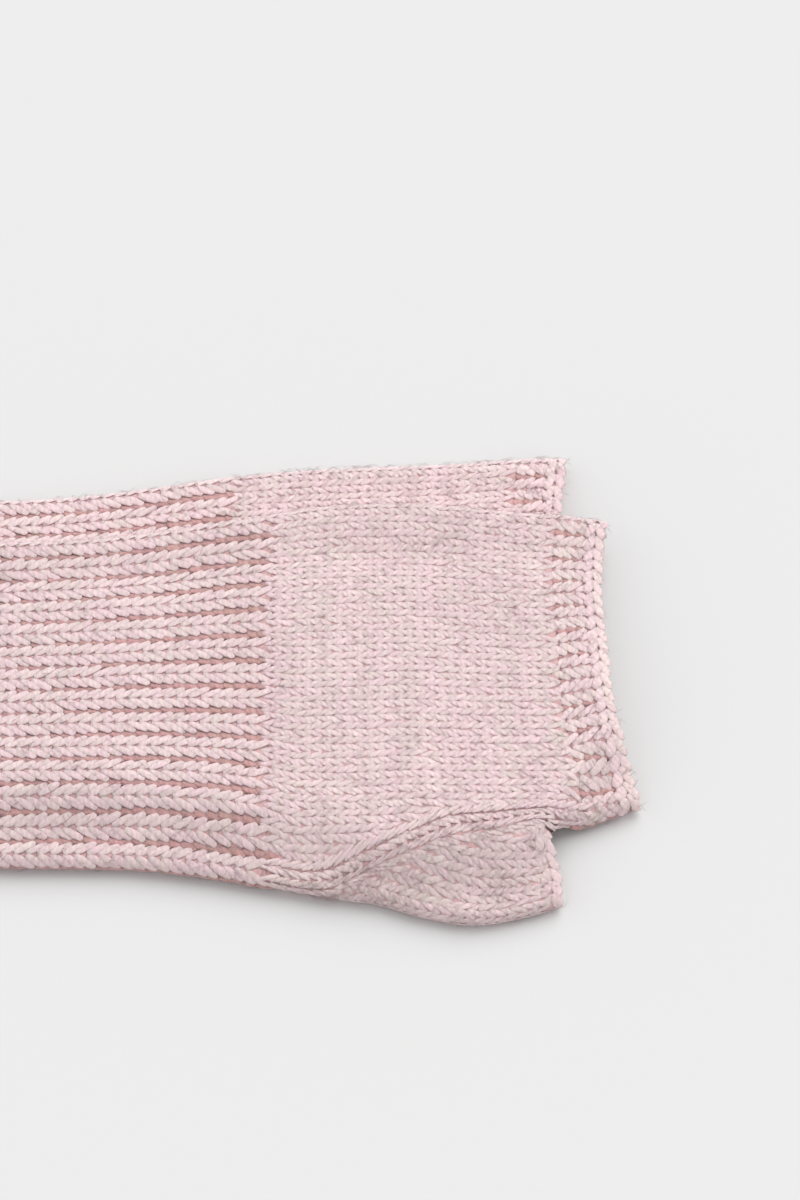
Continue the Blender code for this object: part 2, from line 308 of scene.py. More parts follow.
@dataclass(frozen=True)
class Lie:
    """How the upper warmer lies on the lower one."""

    height: float = 6.5
    near_start: float = -2.0
    near_drape: float = 15.5
    finger_drape: float = 14.0
    finger_drop: float = 0.35
    ahead: float = 9.3
    across: float = -17.0
    ripple: float = 0.45
    ripple_length: float = 58.0

    def support(self, along: np.ndarray, across: np.ndarray) -> np.ndarray:
        """Height of what lies under the upper warmer.

        Args:
            along: Places along the upper warmer.
            across: Places across it.

        Returns:
            Heights over the table, with the cloth's slight ripples.
        """
        ahead = along + self.ahead
        beside = across + self.across
        far = HAND_EDGES[-1].lower_far
        part = (far - beside) / (far - HAND_EDGES[-1].near)
        past_near = read_column(LOWER_REACH, "near")(ahead) - beside
        past_fingers = ahead - read_column(FINGER_EDGE, "along")(part)
        near = 1.0 - soft_step((past_near - self.near_start) / self.near_drape)
        fingers = 1.0 - self.finger_drop * soft_step(past_fingers / self.finger_drape)
        wave = np.sin(along / self.ripple_length * 2.0 * math.pi + across * 0.05)
        wave = wave * np.sin(across / 31.0 + 0.9) * 0.5 + 0.5
        return self.height * near * fingers + self.ripple * wave * near


@dataclass(frozen=True)
class Warmer:
    """One arm warmer: its place, its far edge, whether it lies on the other and the painted light that lifts its
    stitches' tone.
    """

    name: str
    ahead: float
    across: float
    far_column: str
    lie: Lie | None
    creases: tuple[Crease, ...]
    # painted light: raises the tone of all this warmer's stitches, so the lower one reads brighter where its far
    # edge catches the light
    brightness: float = 0.0

    def sink(self, along: np.ndarray, across: np.ndarray) -> np.ndarray:
        """Find how far the creases take the cloth in.

        Args:
            along: Places along the warmer.
            across: Places across it.

        Returns:
            Depths in millimetres, uneven along each crease.
        """
        total = np.zeros_like(along)
        for crease in self.creases:
            run = np.array([crease.end_along - crease.along, crease.end_across - crease.across])
            length = float(np.linalg.norm(run))
            first, second = along - crease.along, across - crease.across
            share = (first * run[0] + second * run[1]) / length**2
            aside = (second * run[0] - first * run[1]) / length
            uneven = 0.8 + 0.2 * np.sin(7.0 * share + crease.across)
            fade = soft_step((share + 0.12) / 0.24) * soft_step((1.12 - share) / 0.24)
            total = total + crease.depth * uneven * fade * np.exp(-((aside / crease.width) ** 2))
        return total

    def support(self, along: np.ndarray, across: np.ndarray) -> np.ndarray:
        """Height of what lies under this warmer."""
        if self.lie is None:
            return np.zeros_like(along)
        return self.lie.support(along, across)


# the lower warmer carries painted light: its stitches are made brighter
LOWER = Warmer("lower", -9.3, 17.0, "lower_far", None, LOWER_CREASES, 2.2)
UPPER = Warmer("upper", 0.0, 0.0, "upper_far", Lie(), UPPER_CREASES)


class Skin:
    """Surface of one stretch of a warmer, unrolled into rows and arcs."""

    radius: float = 2.9

    def __init__(self, warmer: Warmer) -> None:
        """Keep the warmer that the stretch belongs to."""
        self.warmer = warmer

    def ends(self, rows: np.ndarray) -> tuple[np.ndarray, np.ndarray]:
        """Far and near end of each course; each kind of stretch has its own.

        Args:
            rows: Course numbers, fractions included.

        Returns:
            Two arrays of places along and across.
        """
        raise NotImplementedError

    def bow(self, rows: np.ndarray, part: np.ndarray) -> np.ndarray:
        """How far a course bows along the arm, at a share of the way across."""
        return np.zeros_like(rows * part)

    def around(self, rows: np.ndarray) -> np.ndarray:
        """Arc of a layer from the far fold to the near one."""
        far, near = self.ends(rows)
        width = np.linalg.norm(near - far, axis=-1)
        return width + (math.pi - 2.0) * self.radius

    def limits(self, rows: np.ndarray) -> tuple[np.ndarray, np.ndarray]:
        """Arcs between which a layer has cloth: all of it, unless it is open along a seam."""
        return np.zeros_like(rows), self.around(rows)

    def lean(self, rows: np.ndarray, arcs: np.ndarray) -> np.ndarray:
        """How flat the skin lies: 0 on a fold and 1 on the level cloth."""
        around = self.around(rows)
        from_fold = np.minimum(arcs, around - arcs)
        return np.sin(np.clip(from_fold / self.radius, 0.0, math.pi / 2.0))

    def place(self, rows: np.ndarray, arcs: np.ndarray, layer: Layer, proud: np.ndarray) -> np.ndarray:
        """Turn places on the unrolled skin into points.

        Args:
            rows: Course numbers.
            arcs: Arcs from the far fold; below 0 they wrap round it.
            layer: Which cloth.
            proud: How far the points stand off the skin.

        Returns:
            Points in the warmer's own frame, in millimetres.
        """
        rows, arcs, proud = np.broadcast_arrays(rows, arcs, proud)
        far, near = self.ends(rows)
        run = near - far
        width = np.linalg.norm(run, axis=-1)
        around = width + (math.pi - 2.0) * self.radius
        is_far = arcs < around / 2.0
        from_fold = np.where(is_far, arcs, around - arcs)
        turn = np.clip(from_fold / self.radius, -math.pi / 2.0, math.pi / 2.0)
        beyond = np.maximum(np.abs(from_fold) - math.pi / 2.0 * self.radius, 0.0)
        inset = self.radius * (1.0 - np.cos(turn)) + beyond - proud * np.cos(turn)
        part = np.where(is_far, inset, width - inset) / width
        plan = far + run * part[..., None]
        along = plan[..., 0] + self.bow(rows, part)
        height = self.warmer.support(along, plan[..., 1]) + self.level(along, plan[..., 1], layer, proud, turn)
        return np.stack([along, plan[..., 1], height], axis=-1)

    def level(
        self, along: np.ndarray, across: np.ndarray, layer: Layer, proud: np.ndarray, turn: np.ndarray
    ) -> np.ndarray:
        """Height of the skin over its support.

        Args:
            along: Places along the warmer.
            across: Places across it.
            layer: Which cloth.
            proud: How far the points stand off the skin.
            turn: Angle round the fold, a quarter turn where the cloth is level.

        Returns:
            Heights, with the creases taken in.
        """
        lean = np.sin(turn)
        sink = self.warmer.sink(along, across) * np.where(layer is Layer.TOP, 1.0, 0.4) * lean**2
        return self.radius + layer.value * ((self.radius + proud) * lean - sink)


class ArmSkin(Skin):
    """Forearm, from the cuff at row 0 to the wrist line."""

    radius = 2.55
    rows = 58
    length = 170.0

    def ends(self, rows: np.ndarray) -> tuple[np.ndarray, np.ndarray]:
        """Far and near end of each course of the forearm."""
        along = rows / self.rows * self.length - self.length
        far = read_column(ARM_EDGES, self.warmer.far_column)(along)
        near = read_column(ARM_EDGES, "near")(along)
        return np.stack([along, far], axis=-1), np.stack([along, near], axis=-1)


class HandSkin(Skin):
    """Hand and finger band, from the wrist at row 0 to the finger edge at the last."""

    radius = 2.9
    hand_rows = 28
    rows = 33
    overlap = 3.4

    def ends(self, rows: np.ndarray) -> tuple[np.ndarray, np.ndarray]:
        """Far and near end of each course of the hand."""
        share = rows / self.rows
        far_along = share * FINGER_EDGE[0].along
        near_along = share * FINGER_EDGE[-1].along
        far = read_column(HAND_EDGES, self.warmer.far_column)(far_along)
        near = read_column(HAND_EDGES, "near")(near_along)
        return np.stack([far_along, far], axis=-1), np.stack([near_along, near], axis=-1)

    def bow(self, rows: np.ndarray, part: np.ndarray) -> np.ndarray:
        """Follow the finger edge's curve in proportion to the row."""
        edge = read_column(FINGER_EDGE, "along")(part)
        first, last = FINGER_EDGE[0].along, FINGER_EDGE[-1].along
        return rows / self.rows * (edge - first - part * (last - first))

    def limits(self, rows: np.ndarray) -> tuple[np.ndarray, np.ndarray]:
        """Reach from the far fold to the thumb's seam, or round the near fold beside it."""
        around = self.around(rows)
        far, near = self.ends(rows)
        along = near[..., 0]
        seam = read_column(GUSSET_LINES, "gusset_line")(along) - self.overlap
        reach = far[..., 1] - seam + (math.pi / 2.0 - 1.0) * self.radius
        is_open = (along > THUMB_FROM) & (along < THUMB_TO)
        return np.zeros_like(around), np.where(is_open, np.minimum(reach, around), around)


class BandSkin(HandSkin):
    """Finger band, thinner under its ribs than the hand."""

    radius = 2.5

    def limits(self, rows: np.ndarray) -> tuple[np.ndarray, np.ndarray]:
        """Reach all round: the band is past the thumb."""
        return np.zeros_like(rows), self.around(rows)


class ThumbSkin(Skin):
    """Gusset and thumb, from the gusset's start at row 0 to the thumb's open end."""

    radius = 2.6
    rows = 24
    bulge = 1.3
    lift = 0.75
    lift_reach = 9.0

    def ends(self, rows: np.ndarray) -> tuple[np.ndarray, np.ndarray]:
        """Far and near end of each course of the thumb."""
        step = rows / self.rows * THUMB_ROWS[-1].step
        past = np.maximum(step - THUMB_ROWS[-1].step, 0.0)
        curves = [read_column(THUMB_ROWS, name) for name in ("far_along", "far", "near_along", "near")]
        values = [curve(step) + past * curve.slopes[-1] for curve in curves]
        return np.stack(values[:2], axis=-1), np.stack(values[2:], axis=-1)

    def bow(self, rows: np.ndarray, part: np.ndarray) -> np.ndarray:
        """Bulge the middle of the courses towards the open end."""
        return self.bulge * rows / self.rows * 4.0 * part * (1.0 - part)

    def level(
        self, along: np.ndarray, across: np.ndarray, layer: Layer, proud: np.ndarray, turn: np.ndarray
    ) -> np.ndarray:
        """Height of the skin over its support, lifted to the hand's where the two meet.

        Args:
            along: Places along the warmer.
            across: Places across it.
            layer: Which cloth.
            proud: How far the points stand off the skin.
            turn: Angle round the fold, a quarter turn where the cloth is level.

        Returns:
            Heights, with the creases taken in.
        """
        height = super().level(along, across, layer, proud, turn)
        inside = read_column(GUSSET_LINES, "thumb_line")(along) - across
        lift = self.lift * (1.0 - soft_step(inside / self.lift_reach)) * np.clip(np.sin(turn), 0.0, 1.0)
        return height + (lift if layer is Layer.TOP else 0.0)

    def limits(self, rows: np.ndarray) -> tuple[np.ndarray, np.ndarray]:
        """Reach from the thumb's seam to the near fold, and all round past the fork."""
        around = self.around(rows)
        far, near = self.ends(rows)
        share = np.linspace(0.0, 1.0, 60)
        plan = far[..., None, :] + (near - far)[..., None, :] * share[:, None]
        seam = read_column(GUSSET_LINES, "gusset_line")(plan[..., 0])
        start = share[np.argmax(plan[..., 1] < seam, axis=-1)]
        low = start * np.linalg.norm(near - far, axis=-1) + (math.pi / 2.0 - 1.0) * self.radius
        return np.where(start < 0.03, 0.0, np.minimum(low, around - self.radius)), around


class ThumbEdgeSkin(ThumbSkin):
    """Thumb's open end, with its courses square to the edge."""

    course = 2.55

    def ends(self, rows: np.ndarray) -> tuple[np.ndarray, np.ndarray]:
        """Far and near end of each course, moved straight out from the thumb's edge."""
        last = THUMB_ROWS[-1]
        far, near = np.array([last.far_along, last.far]), np.array([last.near_along, last.near])
        edge = near - far
        outward = np.array([-edge[1], edge[0]]) / np.linalg.norm(edge)
        shift = ((rows - self.rows) * self.course)[..., None] * outward
        return far + shift, near + shift


class BesideSkin(Skin):
    """A wale between two of the lines beside the gusset: arcs are shares between them."""

    radius = 2.9
    rows = 35
    reach = 88.8
    wale = 4.0

    def __init__(self, warmer: Warmer, first: str, second: str) -> None:
        """Keep the warmer and the names of the two lines."""
        super().__init__(warmer)
        self.first = read_column(GUSSET_LINES, first)
        self.second = read_column(GUSSET_LINES, second)

    def width(self, rows: np.ndarray) -> np.ndarray:
        """Width of the wale."""
        along = rows / self.rows * self.reach
        return self.first(along) - self.second(along)

    def place(self, rows: np.ndarray, arcs: np.ndarray, layer: Layer, proud: np.ndarray) -> np.ndarray:
        """Turn places between the lines into points.

        Args:
            rows: Course numbers of the wale.
            arcs: 0 on the first line and 1 on the second.
            layer: Which cloth.
            proud: How far the points stand off the skin.

        Returns:
            Points in the warmer's own frame, in millimetres.
        """
        rows, arcs, proud = np.broadcast_arrays(rows, arcs, proud)
        along = rows / self.rows * self.reach
        outline = read_column(GUSSET_LINES, "outline")(along)
        unrolled = self.first(along) - self.width(rows) * arcs
        quarter = math.pi / 2.0 * self.radius
        from_fold = unrolled - outline + quarter - self.radius
        turn = np.clip(from_fold / self.radius, -math.pi / 2.0, math.pi / 2.0)
        beyond = np.maximum(np.abs(from_fold) - quarter, 0.0)
        inset = self.radius * (1.0 - np.cos(turn)) + beyond - proud * np.cos(turn)
        across = outline + inset
        height = self.warmer.support(along, across) + self.level(along, across, layer, proud, turn)
        return np.stack([along, across, height], axis=-1)


@dataclass(frozen=True)
class StitchShape:
    """Path and thickness of one piece of yarn, as it shows on the cloth.

    The path runs from start to end, in rows along, wales across and millimetres up, through
    a middle that stands highest. Wide and high are half the yarn's width and thickness, and
    crown is how fast the wale falls off at its sides.
    """

    start: tuple[float, float, float]
    middle: tuple[float, float, float]
    end: tuple[float, float, float]
    wide: float
    high: float
    crown: float = 0.0
    fullness: float = 0.62


KNIT_LEG = StitchShape((-0.84, 0.06, -0.12), (0.16, 0.24, 0.0), (1.10, 0.54, -0.12), 0.73, 0.21, 0.006, 0.48)
BESIDE_LEG = StitchShape((-0.92, 0.08, -0.12), (0.16, 0.25, 0.0), (1.15, 0.50, -0.12), 0.56, 0.24, 0.006, 0.50)
RIB_LEG = StitchShape((-0.80, 0.03, -0.07), (0.14, 0.24, 0.0), (1.04, 0.455, -0.11), 0.96, 0.22, 0.012, 0.46)
PURL_BUMP = StitchShape((-0.82, -0.20, -0.08), (0.0, 0.0, 0.0), (0.82, 0.20, -0.08), 1.10, 0.34, 0.0, 0.5)
CHAIN_LEG = StitchShape((-0.36, -0.66, -0.10), (0.05, 0.0, 0.0), (0.42, 0.66, -0.10), 1.18, 0.25, 0.0, 0.48)
FIBRE_AHEAD = StitchShape((0.0, 0.0, -0.20), (0.45, 0.20, 0.35), (1.20, 0.80, 0.75), 0.045, 0.045)
FIBRE_BACK = StitchShape((0.0, 0.0, -0.20), (-0.35, 0.20, 0.40), (-0.90, 0.95, 0.65), 0.045, 0.045)


class StitchTemplate:
    """One piece of yarn, modelled once from a primitive and bent along its path."""

    def __init__(self, shape: StitchShape, detail: Detail, row_pitch: float, wale_pitch: float) -> None:
        """Model the yarn.

        Args:
            shape: Path and thickness.
            detail: Sides and rings.
            row_pitch: Height of a row, for the path.
            wale_pitch: Width of a wale, for the path.
        """
        sides, rings = detail.value
        bpy.ops.mesh.primitive_uv_sphere_add(segments=sides, ring_count=rings, radius=1.0)
        grain = bpy.context.object
        bpy.ops.object.mode_set(mode="EDIT")
        bpy.ops.mesh.select_all(action="SELECT")
        bpy.ops.transform.rotate(value=math.pi / 2.0, orient_axis="Y", center_override=(0.0, 0.0, 0.0))
        bpy.ops.object.mode_set(mode="OBJECT")
        data = grain.data
        ball = np.array([vertex.co[:] for vertex in data.vertices])
        self.faces = [tuple(polygon.vertices) for polygon in data.polygons]
        self.row_pitch = row_pitch
        self.wale_pitch = wale_pitch
        share = ball[:, 0] / 2.0 + 0.5
        centre = self.path(shape, share)
        step = 0.02
        tangent = self.path(shape, np.minimum(share + step, 1.0)) - self.path(shape, np.maximum(share - step, 0.0))
        flat = np.linalg.norm(tangent[:, :2], axis=1)
        side = np.stack([-tangent[:, 1], tangent[:, 0]], axis=1) / flat[:, None]
        ring = np.linalg.norm(ball[:, 1:], axis=1)
        full = np.where(ring > 1e-6, ring ** (shape.fullness - 1.0), 0.0)
        self.points = centre.copy()
        self.points[:, :2] += side * (ball[:, 1] * full * shape.wide)[:, None]
        self.points[:, 2] += ball[:, 2] * full * shape.high - shape.crown * self.points[:, 1] ** 2
        self.around = np.arctan2(ball[:, 2], ball[:, 1]) / (2.0 * math.pi)
        self.length = float(np.linalg.norm(self.path(shape, np.array([1.0])) - self.path(shape, np.array([0.0]))))
        self.share = share
        # painted shade: low is 1 on the yarn's lower sides and ends, where it sinks among the other stitches, and
        # there the colour turns to the painted shade colour
        self.low = np.clip(-(centre[:, 2] + ball[:, 2] * 0.7 * shape.high) / 0.60, 0.0, 1.0)
        bpy.data.objects.remove(grain)

    def path(self, shape: StitchShape, share: np.ndarray) -> np.ndarray:
        """Read the path in millimetres.

        Args:
            shape: The path's start, middle and end.
            share: How far along the path, 0 to 1.

        Returns:
            Points: along, across and up.
        """
        scale = np.array([self.row_pitch, self.wale_pitch, 1.0])
        start, middle, end = (np.array(point) * scale for point in (shape.start, shape.middle, shape.end))
        bend = 2.0 * middle - (start + end) / 2.0
        share = np.asarray(share)[:, None]
        return start * (1.0 - share) ** 2 + 2.0 * bend * share * (1.0 - share) + end * share**2


@dataclass
class Stitches:
    """Where many like stitches lie: their rows, arcs, heights and looks."""

    rows: np.ndarray
    arcs: np.ndarray
    slants: np.ndarray
    heights: np.ndarray
    widths: np.ndarray
    tones: np.ndarray
    hues: np.ndarray

    def pick(self, keep: np.ndarray) -> Stitches:
        """Keep some of the stitches."""
        return Stitches(*(getattr(self, column.name)[keep] for column in fields(self)))


class Wool:
    """Seeded unevenness of hand-made cloth and of heather yarn."""

    def __init__(self, seed: int) -> None:
        """Start the draws at a seed."""
        self.draw = np.random.default_rng(seed)

    def jitter(self, count: int, size: float) -> np.ndarray:
        """Draw small offsets."""
        return self.draw.normal(0.0, size, count)

    def along_yarn(self, rows: int, wales: int, length: float) -> np.ndarray:
        """Draw a value that changes slowly along the yarn, which runs across the rows.

        Args:
            rows: Number of rows.
            wales: Number of stitches in each.
            length: How many stitches one colour lasts.

        Returns:
            Values from about -1 to 1, one for each stitch.
        """
        count = rows * wales
        raw = self.draw.normal(0.0, 1.0, count + 64)
        reach = np.arange(-16, 17)
        kernel = np.exp(-0.5 * (reach / length) ** 2)
        smooth = np.convolve(raw, kernel / math.sqrt((kernel**2).sum()), mode="same")
        return smooth[32 : 32 + count].reshape(rows, wales)


class KnitMesh:
    """Collects stitches into one mesh with its own map and colour attributes."""

    def __init__(self, name: str, origin: np.ndarray) -> None:
        """Start an empty mesh.

        Args:
            name: Name of the piece.
            origin: Where the warmer's own frame lies, in millimetres.
        """
        self.name = name
        self.origin = origin
        self.points: list[np.ndarray] = []
        self.starts: list[np.ndarray] = []
        self.totals: list[np.ndarray] = []
        self.corners: list[np.ndarray] = []
        self.maps: list[np.ndarray] = []
        # tone and hue are the yarn's own mottling; low drives the painted shade
        self.values: dict[str, list[np.ndarray]] = {"tone": [], "hue": [], "low": []}
        self.vertex_count = 0
        self.corner_count = 0

    def add(self, template: StitchTemplate, skin: Skin, stitches: Stitches, layer: Layer, side: int) -> None:
        """Lay copies of a stitch on a skin.

        Args:
            template: The stitch.
            skin: What it lies on.
            stitches: Where the copies lie.
            layer: Which cloth.
            side: 1, or -1 for the mirrored leg.
        """
        if not len(stitches.rows):
            return
        local = template.points
        courses = local[None, :, 0] / template.row_pitch
        rows = stitches.rows[:, None] + courses
        arcs = stitches.arcs[:, None] + side * local[None, :, 1] * stitches.widths[:, None]
        arcs = arcs + stitches.slants[:, None] * courses
        proud = stitches.heights[:, None] + local[None, :, 2]
        points = skin.place(rows, arcs, layer, proud)
        points[..., 2] = np.maximum(points[..., 2], TABLE_GAP)
        count, size = points.shape[:2]
        flip = self.volume(points[0], template.faces) < 0.0
        corners = [face[::-1] if flip else face for face in template.faces]
        flat = np.concatenate([np.array(face) for face in corners])
        totals = np.array([len(face) for face in corners])
        offsets = self.vertex_count + np.arange(count) * size
        self.points.append(points.reshape(-1, 3) + self.origin)
        self.corners.append((flat[None, :] + offsets[:, None]).ravel())
        self.totals.append(np.tile(totals, count))
        base = np.concatenate([[0], np.cumsum(totals)[:-1]])
        self.starts.append((base[None, :] + self.corner_count + np.arange(count)[:, None] * len(flat)).ravel())
        along = template.share * template.length
        self.maps.append(np.tile(self.unroll(along, template.around, corners), (count, 1)))
        self.values["tone"].append(np.repeat(stitches.tones, size))
        self.values["hue"].append(np.repeat(stitches.hues, size))
        self.values["low"].append(np.tile(template.low, count))
        self.vertex_count += count * size
        self.corner_count += count * len(flat)

    @staticmethod
    def volume(points: np.ndarray, faces: Sequence[tuple[int, ...]]) -> float:
        """Signed volume of one stitch, to tell whether its faces point out."""
        total = 0.0
        for face in faces:
            for second, third in zip(face[1:-1], face[2:]):
                total += float(np.dot(points[face[0]], np.cross(points[second], points[third])))
        return total

    @staticmethod
    def unroll(along: np.ndarray, around: np.ndarray, corners: Sequence[tuple[int, ...]]) -> np.ndarray:
        """Map a stitch: millimetres along the yarn and turns around it.

        Args:
            along: Distance along the yarn at each vertex.
            around: Turn at each vertex.
            corners: The faces.

        Returns:
            Map coordinates for each face corner, with no jump inside a face.
        """
        rows = []
        for face in corners:
            turns = around[list(face)].copy()
            if turns.max() - turns.min() > 0.5:
                turns[turns < 0.0] += 1.0
            rows += [(along[vertex], turn) for vertex, turn in zip(face, turns)]
        return np.array(rows)

    def make(self, material: bpy.types.Material) -> bpy.types.Object:
        """Make the piece.

        Args:
            material: Its yarn.

        Returns:
            The new object, with its place in its mesh.
        """
        data = bpy.data.meshes.new(self.name)
        points = np.concatenate(self.points) * MM
        corners = np.concatenate(self.corners)
        starts = np.concatenate(self.starts)
        totals = np.concatenate(self.totals)
        data.vertices.add(len(points))
        data.vertices.foreach_set("co", points.astype(np.float32).ravel())
        data.loops.add(len(corners))
        data.loops.foreach_set("vertex_index", corners.astype(np.int32))
        data.polygons.add(len(starts))
        data.polygons.foreach_set("loop_start", starts.astype(np.int32))
        data.polygons.foreach_set("loop_total", totals.astype(np.int32))
        data.update(calc_edges=True)
        data.polygons.foreach_set("use_smooth", np.ones(len(starts), dtype=bool))
        layer = data.uv_layers.new(name=YARN_MAP)
        layer.data.foreach_set("uv", np.concatenate(self.maps).astype(np.float32).ravel())
        for name, blocks in self.values.items():
            attribute = data.attributes.new(name, "FLOAT", "POINT")
            attribute.data.foreach_set("value", np.concatenate(blocks).astype(np.float32))
        data.materials.append(material)
        piece = bpy.data.objects.new(self.name, data)
        bpy.context.scene.collection.objects.link(piece)
        triangles = int((totals - 2).sum())
        LOG.info("%s: %d triangles", self.name, triangles)
        return piece


@dataclass(frozen=True)
class RibForm:
    """Relief of 1x1 rib: knit wales stand, purl wales lie in the channels between them."""

    count: int
    raised: float

    def height(self, share: np.ndarray) -> np.ndarray:
        """Height of the cloth over a channel's floor.

        Args:
            share: Place across the layer, 0 on the far fold and 1 on the near one.

        Returns:
            Heights, highest on the middle of each rib.
        """
        if not self.count:
            return np.zeros_like(share)
        return self.raised * np.abs(np.sin(math.pi * self.count * share)) ** 0.75


class ClothSheet:
    """Thin knitted backing under the stitches: two grids welded along the folds."""

    depth: float = 0.12
    rib_share: float = 0.93
    wall: float = 0.6
    weld: float = 0.02
    map_row: float = 2.55
    map_turn: float = 4.0

    def __init__(self, name: str, skin: Skin, rib: RibForm, first_row: float, last_row: float) -> None:
        """Keep what the cloth follows.

        Args:
            name: Name of the piece.
            skin: Its surface.
            rib: Its relief.
            first_row: Course that it starts at.
            last_row: Course that it ends at.
        """
        self.name = name
        self.skin = skin
        self.rib = rib
        self.rows = (first_row, last_row)

    def make(self, origin: np.ndarray, cells: tuple[int, int], material: bpy.types.Material) -> bpy.types.Object:
        """Make the cloth.

        Args:
            origin: Where the warmer's own frame lies, in millimetres.
            cells: Grid cells along and across each layer.
            material: Its yarn.

        Returns:
            The new object, with its place in its mesh.
        """
        sheets = [self.lay_grid(origin, cells, layer) for layer in Layer]
        deselect_all()
        for sheet in sheets:
            sheet.select_set(True)
        bpy.context.view_layer.objects.active = sheets[0]
        bpy.ops.object.join()
        cloth = bpy.context.object
        cloth.name = self.name
        cloth.data.name = self.name
        bpy.ops.object.mode_set(mode="EDIT")
        bpy.ops.mesh.select_all(action="SELECT")
        bpy.ops.mesh.remove_doubles(threshold=self.weld * MM)
        bpy.ops.object.mode_set(mode="OBJECT")
        wall = cloth.modifiers.new("wall", "SOLIDIFY")
        wall.thickness = self.wall * MM
        wall.offset = -1.0
        wall.use_even_offset = False
        bpy.ops.object.modifier_apply(modifier=wall.name)
        bpy.ops.object.shade_smooth()
        cloth.data.materials.clear()
        cloth.data.materials.append(material)
        return cloth

    def lay_grid(self, origin: np.ndarray, cells: tuple[int, int], layer: Layer) -> bpy.types.Object:
        """Shape one grid into a layer of the cloth, with its faces outward.

        Args:
            origin: Where the warmer's own frame lies.
            cells: Grid cells along and across.
            layer: Which cloth.

        Returns:
            The grid, as an open sheet.
        """
        bpy.ops.mesh.primitive_grid_add(x_subdivisions=cells[0], y_subdivisions=cells[1], size=2.0)
        grid = bpy.context.object
        flat = np.array([vertex.co[:] for vertex in grid.data.vertices]) / 2.0 + 0.5
        rows = self.rows[0] + (self.rows[1] - self.rows[0]) * flat[:, 0]
        low, high = self.skin.limits(rows)
        arcs = low + (high - low) * flat[:, 1]
        lean = self.skin.lean(rows, arcs)
        proud = self.rib_share * self.rib.height(arcs / self.skin.around(rows)) - self.depth
        if layer is Layer.UNDER:
            proud = proud - self.rib.raised * lean
        points = (self.skin.place(rows, arcs, layer, proud) + origin) * MM
        grid.data.vertices.foreach_set("co", points.astype(np.float32).ravel())
        corners = np.zeros(len(grid.data.loops), dtype=np.int32)
        grid.data.loops.foreach_get("vertex_index", corners)
        unrolled = np.stack([rows * self.map_row, arcs / self.map_turn], axis=1)[corners]
        grid.data.uv_layers[0].name = YARN_MAP
        grid.data.uv_layers[YARN_MAP].data.foreach_set("uv", unrolled.astype(np.float32).ravel())
        # painted shade: low is 1 all over the backing, so it takes the painted shade colour, for the shade in the
        # gaps between stitches
        for name, value in (("tone", 0.0), ("hue", 0.0), ("low", 1.0)):
            attribute = grid.data.attributes.new(name, "FLOAT", "POINT")
            attribute.data.foreach_set("value", np.full(len(points), value, dtype=np.float32))
        if layer is Layer.TOP:
            bpy.ops.object.mode_set(mode="EDIT")
            bpy.ops.mesh.select_all(action="SELECT")
            bpy.ops.mesh.flip_normals()
            bpy.ops.object.mode_set(mode="OBJECT")
        grid.data.update()
        return grid


@dataclass(frozen=True)
class YarnFinish:
    """Heather wool: its colours, the painted shade colour of its low parts, and how the light meets its fibres."""

    name: str
    pale: tuple[float, float, float]
    cool: tuple[float, float, float]
    # painted shade colour, blended in where the yarn lies low
    deep: tuple[float, float, float]
    roughness: float = 0.94
    sheen: float = 0.25
    sheen_roughness: float = 0.6
    gloss: float = 0.12
    relief: float = 0.00018
    depth_share: float = 0.2
    depth_colour: tuple[float, float, float] = (1.0, 0.78, 0.74)
    depth_reach: float = 0.0012

    def make(self, heather: bpy.types.NodeTree) -> bpy.types.Material:
        """Make the material.

        Args:
            heather: The shared node group that mottles the yarn.

        Returns:
            The new material.
        """
        material = bpy.data.materials.new(self.name)
        material.use_nodes = True
        nodes, links = material.node_tree.nodes, material.node_tree.links
        shader = nodes["Principled BSDF"]
        shader.inputs["Roughness"].default_value = self.roughness
        shader.inputs["Sheen Weight"].default_value = self.sheen
        shader.inputs["Sheen Roughness"].default_value = self.sheen_roughness
        shader.inputs["Specular IOR Level"].default_value = self.gloss
        shader.inputs["Subsurface Weight"].default_value = self.depth_share
        shader.inputs["Subsurface Radius"].default_value = self.depth_colour
        shader.inputs["Subsurface Scale"].default_value = self.depth_reach
        wool = nodes.new("ShaderNodeGroup")
        wool.node_tree = heather
        for socket, colour in (("Pale", self.pale), ("Cool", self.cool), ("Deep", self.deep)):
            wool.inputs[socket].default_value = (*colour, 1.0)
        for socket in ("tone", "hue", "low"):
            reader = nodes.new("ShaderNodeAttribute")
            reader.attribute_name = socket
            links.new(reader.outputs["Fac"], wool.inputs[socket.capitalize()])
        yarn = nodes.new("ShaderNodeUVMap")
        yarn.uv_map = YARN_MAP
        links.new(yarn.outputs["UV"], wool.inputs["Yarn"])
        bump = nodes.new("ShaderNodeBump")
        bump.inputs["Strength"].default_value = 1.0
        bump.inputs["Distance"].default_value = self.relief
        links.new(wool.outputs["Relief"], bump.inputs["Height"])
        links.new(bump.outputs["Normal"], shader.inputs["Normal"])
        links.new(wool.outputs["Colour"], shader.inputs["Base Color"])
        return material


